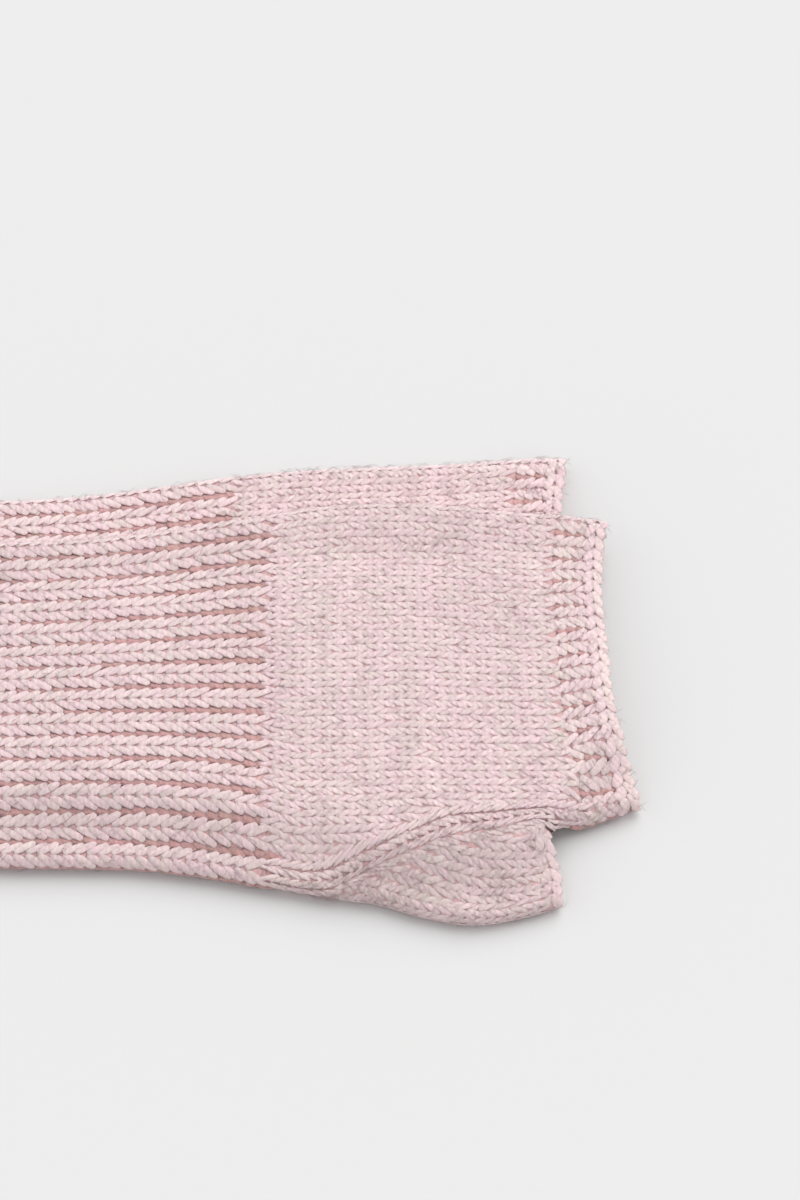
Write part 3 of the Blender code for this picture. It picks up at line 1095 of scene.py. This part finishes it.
class HeatherGroup:
    """Shared node group: heather colours along the yarn, painted shade in its low parts, its ply twist and its
    fibres.
    """

    ply_length: float = 1.5
    fibre_scale: float = 3.2
    patch_scale: float = 230.0

    def __init__(self) -> None:
        """Start the group with its sockets."""
        self.tree = bpy.data.node_groups.new("heather_wool", "ShaderNodeTree")
        for socket in ("Pale", "Cool", "Deep"):
            self.tree.interface.new_socket(socket, in_out="INPUT", socket_type="NodeSocketColor")
        # Low blends in the painted shade colour, for shade in the recesses
        for socket in ("Tone", "Hue", "Low"):
            self.tree.interface.new_socket(socket, in_out="INPUT", socket_type="NodeSocketFloat")
        self.tree.interface.new_socket("Yarn", in_out="INPUT", socket_type="NodeSocketVector")
        self.tree.interface.new_socket("Colour", in_out="OUTPUT", socket_type="NodeSocketColor")
        self.tree.interface.new_socket("Relief", in_out="OUTPUT", socket_type="NodeSocketFloat")
        self.given = self.tree.nodes.new("NodeGroupInput")
        self.result = self.tree.nodes.new("NodeGroupOutput")

    def math(self, operation: str, first: object, second: object, third: object = None) -> object:
        """Add a Math node.

        Args:
            operation: What it does.
            first: A socket or a number.
            second: A socket or a number.
            third: A socket or a number, where the operation takes one.

        Returns:
            Its output socket.
        """
        node = self.tree.nodes.new("ShaderNodeMath")
        node.operation = operation
        for slot, value in enumerate((first, second, third)):
            if value is None:
                continue
            if isinstance(value, (int, float)):
                node.inputs[slot].default_value = value
            else:
                self.tree.links.new(value, node.inputs[slot])
        return node.outputs[0]

    def noise(self, vector: object, scale: float, detail: float) -> object:
        """Add a Noise node on a vector and return its value, about 0.5 in the middle."""
        node = self.tree.nodes.new("ShaderNodeTexNoise")
        node.inputs["Scale"].default_value = scale
        node.inputs["Detail"].default_value = detail
        self.tree.links.new(vector, node.inputs["Vector"])
        return node.outputs["Fac"]

    def blend(self, share: object, first: object, second: object, mode: str = "MIX") -> object:
        """Add a colour Mix node and return its result."""
        node = self.tree.nodes.new("ShaderNodeMix")
        node.data_type = "RGBA"
        node.blend_type = mode
        for slot, value in ((0, share), (6, first), (7, second)):
            if isinstance(value, (int, float)):
                node.inputs[slot].default_value = value
            else:
                self.tree.links.new(value, node.inputs[slot])
        return node.outputs[2]

    def make(self) -> bpy.types.NodeTree:
        """Build the group.

        Returns:
            The finished node tree.
        """
        links = self.tree.links
        place = self.tree.nodes.new("ShaderNodeTexCoord")
        split = self.tree.nodes.new("ShaderNodeSeparateXYZ")
        links.new(self.given.outputs["Yarn"], split.inputs["Vector"])
        along, around = split.outputs["X"], split.outputs["Y"]
        patches = self.noise(place.outputs["Object"], self.patch_scale, 2.0)
        fine = self.noise(place.outputs["Object"], 1400.0, 2.0)
        stretched = self.tree.nodes.new("ShaderNodeCombineXYZ")
        links.new(self.math("MULTIPLY", along, 0.24), stretched.inputs["X"])
        twist = self.math("MULTIPLY", along, 0.55)
        links.new(self.math("MULTIPLY_ADD", around, 3.0, twist), stretched.inputs["Y"])
        links.new(self.math("MULTIPLY", patches, 40.0), stretched.inputs["Z"])
        fibres = self.noise(stretched.outputs["Vector"], self.fibre_scale, 3.0)
        cool_share = self.math("MULTIPLY_ADD", patches, 1.7, -0.55)
        cool_share = self.math("MULTIPLY_ADD", self.given.outputs["Hue"], 0.14, cool_share)
        cool = self.blend(self.clamp(cool_share), self.given.outputs["Pale"], self.given.outputs["Cool"])
        # painted shade: the yarn turns to the painted shade colour where it lies low among the stitches
        depth = self.math("POWER", self.given.outputs["Low"], 1.3)
        shaded = self.blend(self.clamp(depth), cool, self.given.outputs["Deep"])
        # Tone carries the random tone along the yarn and the stretch's painted light and shade; fibres and fine
        # noise are the yarn's grain
        light = self.math("MULTIPLY_ADD", self.given.outputs["Tone"], 0.03, 0.77)
        light = self.math("MULTIPLY_ADD", fibres, 0.27, light)
        light = self.math("MULTIPLY_ADD", fine, 0.14, light)
        turn = self.math("MULTIPLY", along, 2.0 * math.pi / self.ply_length)
        turn = self.math("MULTIPLY_ADD", around, 4.0 * math.pi, turn)
        ply = self.math("SINE", turn, None)
        light = self.math("MULTIPLY_ADD", ply, 0.03, light)
        tinted = self.tree.nodes.new("ShaderNodeVectorMath")
        tinted.operation = "SCALE"
        links.new(shaded, tinted.inputs[0])
        links.new(light, tinted.inputs["Scale"])
        links.new(tinted.outputs["Vector"], self.result.inputs["Colour"])
        relief = self.math("MULTIPLY_ADD", ply, 0.35, fibres)
        links.new(relief, self.result.inputs["Relief"])
        return self.tree

    def clamp(self, value: object) -> object:
        """Keep a value from 0 to 1."""
        node = self.tree.nodes.new("ShaderNodeClamp")
        self.tree.links.new(value, node.inputs["Value"])
        return node.outputs["Result"]


def deselect_all() -> None:
    """Leave nothing selected."""
    for piece in bpy.context.view_layer.objects:
        piece.select_set(False)


def to_linear(colour: Sequence[int]) -> tuple[float, float, float]:
    """Turn a colour of 0 to 255 a channel into the shader's own values."""
    shares = (value / 255.0 for value in colour)
    return tuple(share / 12.92 if share <= 0.04045 else ((share + 0.055) / 1.055) ** 2.4 for share in shares)


@dataclass(frozen=True)
class Evenness:
    """How far hand-made stitches stray from their places, in rows, millimetres and shares."""

    rows: float = 0.05
    arcs: float = 0.09
    heights: float = 0.07
    widths: float = 0.045
    colour_length: float = 5.0


@dataclass(frozen=True)
class Setting:
    """What every stretch of a warmer shares: the frame's shift and the yarns."""

    shift: np.ndarray
    face: bpy.types.Material
    # channel is the purl bumps' yarn, darker all over: painted shade in the rib's channels
    channel: bpy.types.Material
    # ground is the backing's yarn, darker than the face: painted shade in the gaps between stitches
    ground: bpy.types.Material
    evenness: Evenness


@dataclass
class Stretch:
    """One stretch of a warmer: its solid, its cloth and its stitches."""

    warmer: Warmer
    setting: Setting
    seed: int
    part: str = ""
    slot: str = ""
    stand: float = 0.21
    beside_stand: float = 0.12
    purl_height: float = 0.32
    extra_bumps: float = 0.0
    opening: float = 0.0
    # painted light and shade: a tone shift on every stitch of the stretch, darker or lighter for the light that
    # falls on it
    shade: float = 0.0
    fibres: int = 0
    cells: tuple[int, int] = (40, 60)
    rows: tuple[float, float] = (0.0, 1.0)
    rib: RibForm = RibForm(0, 0.0)
    pieces: list[bpy.types.Object] = field(default_factory=list)

    def __post_init__(self) -> None:
        """Work out the place of the warmer's own frame and start the seeded draws."""
        self.origin = self.setting.shift + np.array([self.warmer.ahead, self.warmer.across, 0.0])
        self.wool = Wool(self.seed)

    @property
    def node(self) -> str:
        """Name of the solid that this stretch stands for."""
        return f"{self.warmer.name}_{self.part}"

    def skin(self) -> Skin:
        """Surface of the stretch; each kind has its own."""
        raise NotImplementedError

    def knit(self) -> None:
        """Lay the stitches; each kind has its own."""
        raise NotImplementedError

    def settle(self, stitches: Stitches, skin: Skin, layer: Layer, high: float) -> Stitches:
        """Set the stitches' heights so that their yarn stands out, or rests on what is below.

        Args:
            stitches: The stitches, with heights over the skin.
            skin: Their surface.
            layer: Which cloth.
            high: Half of the yarn's thickness.

        Returns:
            The same stitches with their final heights.
        """
        stand = np.full(len(stitches.rows), self.stand)
        if layer is Layer.UNDER:
            lean = skin.lean(stitches.rows, stitches.arcs)
            stand = stand - (self.rib.raised + self.stand + 0.14) * lean
        stitches.heights = stitches.heights + stand - high
        return stitches

    def scatter(
        self, rows: np.ndarray, find_arcs: Callable[[np.ndarray], np.ndarray], height: float, widths: np.ndarray
    ) -> Stitches:
        """Make stitches on a grid of rows and wales, each a little out of place.

        Args:
            rows: Course of each stitch, one row of the array for each course.
            find_arcs: Gives the wales' arcs at the courses, so that stitches lean as their wale does.
            height: Their height over the skin.
            widths: Their widths, as shares of the template's.

        Returns:
            The stitches, in one line.
        """
        even = self.setting.evenness
        count = rows.size
        arcs = find_arcs(rows)
        slants = find_arcs(rows + 0.5) - find_arcs(rows - 0.5)
        tones = self.wool.along_yarn(*rows.shape, even.colour_length)
        hues = self.wool.along_yarn(*rows.shape, even.colour_length * 1.7)
        return Stitches(
            rows.ravel() + self.wool.jitter(count, even.rows),
            arcs.ravel() + self.wool.jitter(count, even.arcs),
            slants.ravel(),
            height + self.wool.jitter(count, even.heights).clip(-0.12, 0.05),
            np.broadcast_to(widths, rows.shape).ravel() * (1.0 + self.wool.jitter(count, even.widths)),
            # the stretch's painted light and shade shifts the tone of every stitch
            tones.ravel() + self.shade,
            hues.ravel(),
        )

    def fluff(self) -> None:
        """Lay loose fibres over the top layer, closest together towards its folds."""
        skin = self.skin()
        mesh = KnitMesh(f"{self.node}_loose_fibres", self.origin)
        draw = self.wool.draw
        for shape in (FIBRE_AHEAD, FIBRE_BACK):
            template = StitchTemplate(shape, Detail.FIBRE, self.row_pitch(), self.row_pitch())
            for side in (1, -1):
                count = self.fibres // 4
                rows = draw.uniform(*self.rows, count)
                low, high = skin.limits(rows)
                arcs = low + (high - low) * (0.5 - 0.5 * np.cos(math.pi * draw.random(count)))
                laid = Stitches(
                    rows,
                    arcs,
                    draw.normal(0.0, 0.9, count),
                    self.rib.height(arcs / skin.around(rows)) + self.stand + draw.normal(0.0, 0.1, count),
                    draw.uniform(0.4, 1.7, count),
                    # painted highlight: the loose fibres' tone is raised, so they read paler, for the light that
                    # catches them
                    draw.normal(1.5, 0.5, count),
                    draw.normal(0.0, 0.6, count),
                )
                mesh.add(template, skin, laid, Layer.TOP, side)
        self.pieces.append(mesh.make(self.setting.face))

    def chain(self, mesh: KnitMesh, skin: Skin, row: float, count: int, pitch: float) -> None:
        """Lay a chain of edge stitches right round the tube.

        Args:
            mesh: Where the stitches go.
            skin: Their surface.
            row: Course of the chain's outer leg.
            count: Stitches across a layer.
            pitch: Width of one stitch at the template's size.
        """
        template = StitchTemplate(CHAIN_LEG, Detail.FINE, self.row_pitch(), pitch)
        for layer in Layer:
            for course, side in ((row, 1), (row - 0.86, -1)):
                rows, wales = np.meshgrid([course], np.arange(count), indexing="ij")
                around = skin.around(rows)
                arcs = around * (wales + 0.5) / count
                laid = self.scatter(rows, lambda courses: arcs, self.rib.raised + 0.1, around / count / pitch)
                laid = self.settle(laid, skin, layer, CHAIN_LEG.high)
                mesh.add(template, skin, laid, layer, side)

    def knit_rib(
        self,
        knit: KnitMesh,
        purl: KnitMesh,
        templates: tuple[StitchTemplate, StitchTemplate],
        courses: np.ndarray,
        layer: Layer,
        pitch: float,
    ) -> None:
        """Lay the knit wales of a 1x1 rib on its ribs, and purl bumps in the channels.

        Args:
            knit: Where the knit stitches go.
            purl: Where the purl bumps go.
            templates: The knit leg and the purl bump.
            courses: Course numbers.
            layer: Which cloth.
            pitch: Width of a rib at the templates' size.
        """
        skin = self.skin()
        leg, bump = templates
        for side in (1, -1):
            rows, wales = np.meshgrid(courses, np.arange(self.rib.count) + 0.5, indexing="ij")
            widths = np.minimum(skin.around(rows) / self.rib.count / pitch, 1.03) * self.narrow(rows, wales)
            laid = self.scatter(rows, self.follow(wales), self.rib.raised, widths)
            knit.add(leg, skin, self.settle(laid, skin, layer, RIB_LEG.high), layer, side)
        first, last = (0, self.rib.count + 1) if layer is Layer.TOP else (1, self.rib.count)
        bump_rows = np.append(courses + 0.5, self.extra_bumps)
        rows, wales = np.meshgrid(bump_rows, np.arange(first, last), indexing="ij")
        widths = skin.around(rows) / self.rib.count / pitch
        laid = self.scatter(rows, self.follow(wales), self.purl_height, widths)
        purl.add(bump, skin, self.settle(laid, skin, layer, PURL_BUMP.high), layer, 1)

    def narrow(self, rows: np.ndarray, wales: np.ndarray) -> np.ndarray:
        """Share of its width that a rib keeps, as channels open towards the wrist and the near fold."""
        by_row = soft_step((rows / self.rows[1] - 0.62) / 0.26)
        by_wale = soft_step((wales / self.rib.count - 0.5) / 0.35)
        return 1.0 - self.opening * np.maximum(by_row, 0.85 * by_wale)

    def follow(self, wales: np.ndarray) -> Callable[[np.ndarray], np.ndarray]:
        """Give the arcs of a rib's wales, which keep their share of the way round."""
        skin = self.skin()
        return lambda rows: skin.around(rows) * wales / self.rib.count

    def knit_beside(
        self,
        mesh: KnitMesh,
        layer: Layer,
        side: int,
        lines: tuple[str, str],
        limits: tuple[float, float],
    ) -> None:
        """Lay a wale between two of the lines beside the gusset.

        Args:
            mesh: Where the stitches go.
            layer: Which cloth.
            side: 1, or -1 for the mirrored leg.
            lines: Names of the two lines.
            limits: Where the wale starts and ends along the hand.
        """
        beside = BesideSkin(self.warmer, *lines)
        detail = Detail.FINE if layer is Layer.TOP else Detail.PLAIN
        leg = StitchTemplate(BESIDE_LEG, detail, self.row_pitch(), BesideSkin.wale)
        rows = (np.arange(0, int(beside.rows)) + 0.2)[:, None]
        middle = np.full(rows.shape, 0.5)
        laid = self.scatter(rows, lambda courses: middle, 0.1, middle * 2.0 / leg.wale_pitch)
        laid.arcs = np.full(len(laid.rows), 0.5)
        if layer is Layer.UNDER:
            laid.heights = laid.heights - self.stand - 0.3
        laid.heights = laid.heights + self.stand + self.beside_stand - BESIDE_LEG.high
        along = laid.rows / beside.rows * beside.reach
        keep = (along >= limits[0]) & (along < limits[1]) & (beside.width(laid.rows) > 1.6)
        mesh.add(leg, beside, laid.pick(keep), layer, side)

    @staticmethod
    def tuck(inside: np.ndarray) -> np.ndarray:
        """Find how far stitches tuck under the wale that covers their ends, from their distance inside it."""
        return 0.22 * soft_step((1.4 - inside) / 2.4)

    def row_pitch(self) -> float:
        """Height of a course, for the stitch templates."""
        return 2.55

    def dress(self, lies_on: Sequence[str]) -> None:
        """Build the stretch and put it in the frame.

        Args:
            lies_on: Names of what carries it; not used.
        """
        skin = self.skin()
        sheet = ClothSheet(f"{self.node}_cloth", skin, self.rib, *self.rows)
        # the backing takes the darker ground yarn, painted shade between the stitches
        cloth = sheet.make(self.origin, self.cells, self.setting.ground)
        self.knit()
        self.fluff()
        for piece in (cloth, *self.pieces):
            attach(piece, "root")
        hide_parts(self.node)
        width, length, area = self.cut(skin)
        LOG.info("%s: cut %.0f x %.0f mm", self.node, width / MM, length / MM)

    def cut(self, skin: Skin) -> tuple[float, float, float]:
        """Measure the knitting laid flat, all round.

        Args:
            skin: Its surface.

        Returns:
            Width all round, length and area, in metres and square metres.
        """
        courses = np.linspace(*self.rows, 41)
        low, high = skin.limits(courses)
        round_widths = 2.0 * (high - low)
        far, near = skin.ends(courses)
        middle = (far + near) / 2.0
        steps = np.linalg.norm(np.diff(middle, axis=0), axis=1)
        area = float((steps * (round_widths[1:] + round_widths[:-1]) / 2.0).sum())
        return float(round_widths.max()) * MM, float(steps.sum()) * MM, area * MM * MM


@dataclass
class ForearmRib(Stretch):
    """Forearm: a long tube of 1x1 rib with a cast-on edge."""

    part: str = "forearm_rib"
    slot: str = "rib_knit"
    cells: tuple[int, int] = (34, 112)
    rows: tuple[float, float] = (0.0, 58.0)
    rib: RibForm = RibForm(14, 0.9)
    stand: float = 0.21
    purl_height: float = 0.54
    extra_bumps: float = 58.4
    opening: float = 0.085
    knit_share: float = 0.98
    # painted shade: the rib's stitches a little darker
    shade: float = -0.8
    fibres: int = 1600

    def skin(self) -> ArmSkin:
        """Surface of the forearm."""
        return ArmSkin(self.warmer)

    def row_pitch(self) -> float:
        """Height of a course of the rib."""
        return ArmSkin.length / ArmSkin.rows

    def knit(self) -> None:
        """Lay knit wales on the ribs and purl bumps in the channels."""
        skin = self.skin()
        pitch = 6.3
        knit = KnitMesh(f"{self.node}_knit_wales", self.origin)
        purl = KnitMesh(f"{self.node}_purl_wales", self.origin)
        courses = np.arange(0, int(skin.rows)) + 0.2
        for layer in Layer:
            detail = Detail.FINE if layer is Layer.TOP else Detail.PLAIN
            leg = StitchTemplate(RIB_LEG, detail, self.row_pitch(), pitch * self.knit_share)
            bump = StitchTemplate(PURL_BUMP, Detail.PLAIN, self.row_pitch(), pitch * 0.38)
            self.knit_rib(knit, purl, (leg, bump), courses, layer, pitch)
        self.chain(knit, skin, 0.9, 28, 3.15)
        # the purl bumps take the darker channel yarn, painted shade in the channels
        self.pieces += [knit.make(self.setting.face), purl.make(self.setting.channel)]


@dataclass
class Hand(Stretch):
    """Hand: a plain tube of stocking stitch, with two wales that run beside the gusset."""

    part: str = "hand"
    slot: str = "plain_knit"
    cells: tuple[int, int] = (36, 64)
    rows: tuple[float, float] = (0.0, 28.15)
    wales: int = 28
    clear: float = -2.1
    # painted shade: the hand's stitches a little darker
    shade: float = -0.3
    fibres: int = 1000

    def skin(self) -> HandSkin:
        """Surface of the hand."""
        return HandSkin(self.warmer)

    def find_widths(self, rows: np.ndarray) -> np.ndarray:
        """Width of a wale at each course."""
        return read_column(HAND_EDGES, "wale")(rows / HandSkin.rows * FINGER_EDGE[-1].along)

    def knit(self) -> None:
        """Lay the palm's wales up to the palm line, then the two beside it."""
        skin = self.skin()
        pitch = 3.75
        mesh = KnitMesh(f"{self.node}_stitches", self.origin)
        courses = np.arange(0, skin.hand_rows) + 0.2
        for layer in Layer:
            detail = Detail.FINE if layer is Layer.TOP else Detail.PLAIN
            leg = StitchTemplate(KNIT_LEG, detail, self.row_pitch(), pitch)
            for side in (1, -1):
                first = 0 if layer is Layer.TOP else 1
                rows, wales = np.meshgrid(courses, np.arange(first, self.wales + 1), indexing="ij")
                far, near = skin.ends(rows)
                widths = self.find_widths(rows)
                laid = self.scatter(rows, lambda at: self.find_widths(at) * wales, 0.0, widths / pitch)
                across = far[..., 1] - widths * wales + (math.pi / 2.0 - 1.0) * skin.radius
                line = read_column(GUSSET_LINES, "palm_line")(near[..., 0])
                laid.heights = laid.heights - self.tuck(across - line).ravel()
                laid = laid.pick((across > line + self.clear).ravel())
                mesh.add(leg, skin, self.settle(laid, skin, layer, KNIT_LEG.high), layer, side)
                self.knit_beside(mesh, layer, side, ("palm_line", "gusset_line"), (-1.0, 77.0))
                self.knit_beside(mesh, layer, side, ("gusset_line", "thumb_line"), (-1.0, THUMB_FROM))
                self.knit_beside(mesh, layer, side, ("gusset_line", "thumb_line"), (THUMB_TO, 77.0))
        self.pieces.append(mesh.make(self.setting.face))


@dataclass
class FingerBand(Stretch):
    """Finger band: a short 1x1 rib with a bound-off edge."""

    part: str = "finger_band"
    slot: str = "band_knit"
    cells: tuple[int, int] = (8, 96)
    rows: tuple[float, float] = (28.15, 32.8)
    rib: RibForm = RibForm(12, 0.60)
    knit_share: float = 0.99
    extra_bumps: float = 27.7
    fibres: int = 240

    def skin(self) -> BandSkin:
        """Surface of the band."""
        return BandSkin(self.warmer)

    def knit(self) -> None:
        """Lay the rib's wales and the bound-off chain."""
        skin = self.skin()
        pitch = 6.8
        mesh = KnitMesh(f"{self.node}_knit_wales", self.origin)
        purl = KnitMesh(f"{self.node}_purl_wales", self.origin)
        courses = np.arange(HandSkin.hand_rows, HandSkin.hand_rows + 4) + 0.2
        for layer in Layer:
            leg = StitchTemplate(RIB_LEG, Detail.FINE, self.row_pitch(), pitch * self.knit_share)
            bump = StitchTemplate(PURL_BUMP, Detail.PLAIN, self.row_pitch(), pitch * 0.38)
            self.knit_rib(mesh, purl, (leg, bump), courses, layer, pitch)
        self.bind_off()
        # the purl bumps take the darker channel yarn, painted shade in the channels
        self.pieces += [mesh.make(self.setting.face), purl.make(self.setting.channel)]

    def bind_off(self) -> None:
        """Lay the bound-off chain along the finger edge."""
        edge = KnitMesh(f"{self.node}_bound_edge", self.origin)
        self.chain(edge, self.skin(), 32.6, 24, 3.45)
        self.pieces.append(edge.make(self.setting.face))


@dataclass
class Thumb(Stretch):
    """Thumb: the slanting gusset and the short, open thumb."""

    part: str = "thumb"
    slot: str = "thumb_knit"
    cells: tuple[int, int] = (30, 20)
    rows: tuple[float, float] = (0.6, 23.8)
    wales: int = 9
    clear: float = -2.1
    # painted shade: the thumb's stitches about a tenth darker, for the shade on its slope
    shade: float = -2.6
    fibres: int = 320

    def skin(self) -> ThumbSkin:
        """Surface of the thumb."""
        return ThumbSkin(self.warmer)

    def find_arcs(self, rows: np.ndarray, wales: np.ndarray) -> np.ndarray:
        """Arcs of the thumb's wales, which are counted from the near fold."""
        widths = read_column(THUMB_ROWS, "wale")(rows / ThumbSkin.rows * 6.0)
        return self.skin().around(rows) - widths * wales

    def knit(self) -> None:
        """Lay the thumb's wales up to the thumb line, the wale beside it and the bound-off chain."""
        skin = self.skin()
        pitch = 3.8
        mesh = KnitMesh(f"{self.node}_stitches", self.origin)
        courses = np.arange(0, int(skin.rows) - 1) + 0.2
        for layer in Layer:
            detail = Detail.FINE if layer is Layer.TOP else Detail.PLAIN
            leg = StitchTemplate(KNIT_LEG, detail, self.row_pitch(), pitch)
            for side in (1, -1):
                first = 0 if layer is Layer.TOP else 1
                rows, wales = np.meshgrid(courses, np.arange(first, self.wales), indexing="ij")
                widths = read_column(THUMB_ROWS, "wale")(rows / skin.rows * 6.0)
                arcs = self.find_arcs(rows, wales)
                far, near = skin.ends(rows)
                part = arcs / skin.around(rows)
                plan = far + (near - far) * part[..., None]
                line = read_column(GUSSET_LINES, "thumb_line")(plan[..., 0])
                laid = self.scatter(rows, lambda at: self.find_arcs(at, wales), 0.0, widths / pitch)
                laid.heights = laid.heights - self.tuck(line - plan[..., 1]).ravel()
                laid = laid.pick(((plan[..., 1] < line - self.clear) & (arcs > 0.5)).ravel())
                mesh.add(leg, skin, self.settle(laid, skin, layer, KNIT_LEG.high), layer, side)
                self.knit_beside(mesh, layer, side, ("gusset_line", "thumb_line"), (THUMB_FROM, THUMB_TO))
        edge = KnitMesh(f"{self.node}_bound_edge", self.origin)
        self.chain(edge, ThumbEdgeSkin(self.warmer), 23.6, 6, 3.4)
        self.pieces += [mesh.make(self.setting.face), edge.make(self.setting.face)]


@dataclass(frozen=True)
class Studio:
    """Plain pale table, soft light and a camera at the photograph's angle."""

    elevation: float = 60.0
    distance: float = 900.0
    lens: float = 108.0
    sensor: float = 36.0
    target: tuple[float, float, float] = (32.0, 31.0, 0.0)
    table_size: float = 6.0
    table_colour: tuple[int, int, int] = (220, 220, 220)
    sky: float = 0.73
    key_power: float = 1.87
    key_softness: float = 60.0
    key_from: tuple[float, float, float] = (0.54, 0.74, 1.12)

    def make(self, shift: np.ndarray) -> None:
        """Set up the table, the lights and the camera.

        Args:
            shift: Where the garment's frame lies, in millimetres.
        """
        self.lay_table()
        self.hang_light()
        world = bpy.data.worlds.new("studio")
        world.use_nodes = True
        backdrop = world.node_tree.nodes["Background"]
        backdrop.inputs["Color"].default_value = (1.0, 1.0, 1.0, 1.0)
        backdrop.inputs["Strength"].default_value = self.sky
        bpy.context.scene.world = world
        bpy.context.scene.view_settings.view_transform = "Standard"
        self.set_camera(shift)

    def lay_table(self) -> None:
        """Lay the table under the pair."""
        deselect_all()
        bpy.ops.mesh.primitive_plane_add(size=self.table_size, location=(0.0, 0.0, 0.0))
        table = bpy.context.object
        table.name = "table"
        paint = bpy.data.materials.new("table_paint")
        paint.use_nodes = True
        shader = paint.node_tree.nodes["Principled BSDF"]
        shader.inputs["Base Color"].default_value = (*to_linear(self.table_colour), 1.0)
        shader.inputs["Roughness"].default_value = 0.9
        shader.inputs["Specular IOR Level"].default_value = 0.1
        table.data.materials.append(paint)

    def hang_light(self) -> None:
        """Hang the key light: far and wide, so that the table is lit evenly."""
        lamp = bpy.data.lights.new("key", "SUN")
        lamp.energy = self.key_power
        lamp.angle = math.radians(self.key_softness)
        light = bpy.data.objects.new("key", lamp)
        light.rotation_euler = Vector(self.key_from).to_track_quat("Z", "Y").to_euler()
        bpy.context.scene.collection.objects.link(light)

    def set_camera(self, shift: np.ndarray) -> None:
        """Place the camera at the photograph's angle.

        Args:
            shift: Where the garment's frame lies, in millimetres.
        """
        lens = bpy.data.cameras.new("camera")
        lens.lens = self.lens
        lens.sensor_width = self.sensor
        lens.sensor_fit = "AUTO"
        lens.clip_start = 0.05
        camera = bpy.data.objects.new("camera", lens)
        tilt = math.radians(self.elevation)
        back = np.array([0.0, -math.cos(tilt), math.sin(tilt)]) * self.distance
        camera.location = Vector((np.array(self.target) + shift + back) * MM)
        camera.rotation_euler = (math.pi / 2.0 - tilt, 0.0, 0.0)
        bpy.context.scene.collection.objects.link(camera)
        bpy.context.scene.camera = camera


def find_shift() -> np.ndarray:
    """Find where the garment's own frame lies in the shared one.

    Returns:
        Its wrist line's middle, in millimetres.
    """
    low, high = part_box("upper_forearm_rib")
    far = float(read_column(ARM_EDGES, "upper_far")(-0.3))
    return np.array([low[0] / MM + ArmSkin.length, high[1] / MM - far, 0.0])


def main() -> None:
    """Dress both warmers and set up the studio."""
    logging.basicConfig(level=logging.INFO, format="%(message)s")
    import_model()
    deselect_all()
    shift = find_shift()
    LOG.info("shift %s", shift)
    heather = HeatherGroup().make()
    face = YarnFinish(
        # the third colour is painted shade, for the yarn's low parts
        "heather_wool_face", to_linear((247, 215, 219)), to_linear((241, 221, 215)), to_linear((226, 172, 174))
    )
    # painted shade: the channel yarn is darker and rosier than the face, for the shade in the rib's channels
    channel = YarnFinish(
        "heather_wool_channel_painted_shade", to_linear((212, 162, 161)), to_linear((207, 164, 157)), to_linear((198, 143, 142))
    )
    # painted shade: the ground yarn is darker and redder than the face, for the shade in the gaps between stitches
    ground = YarnFinish(
        "heather_wool_ground_painted_shade", to_linear((230, 190, 190)), to_linear((226, 190, 186)), to_linear((226, 182, 182))
    )
    yarns = [finish.make(heather) for finish in (face, channel, ground)]
    setting = Setting(shift, *yarns, Evenness())
    stretches = (ForearmRib, Hand, FingerBand, Thumb)
    for place, warmer in enumerate((LOWER, UPPER)):
        for number, kind in enumerate(stretches):
            stretch = kind(warmer, setting, SEED + 10 * place + number)
            # painted light and shade: the warmer's painted light is added to the stretch's tone shift
            stretch.shade += warmer.brightness
            carriers = ["lower_forearm_rib", "lower_hand"] if warmer.lie else []
            stretch.dress(carriers)
    Studio().make(shift)


if __name__ == "__main__":
    main()
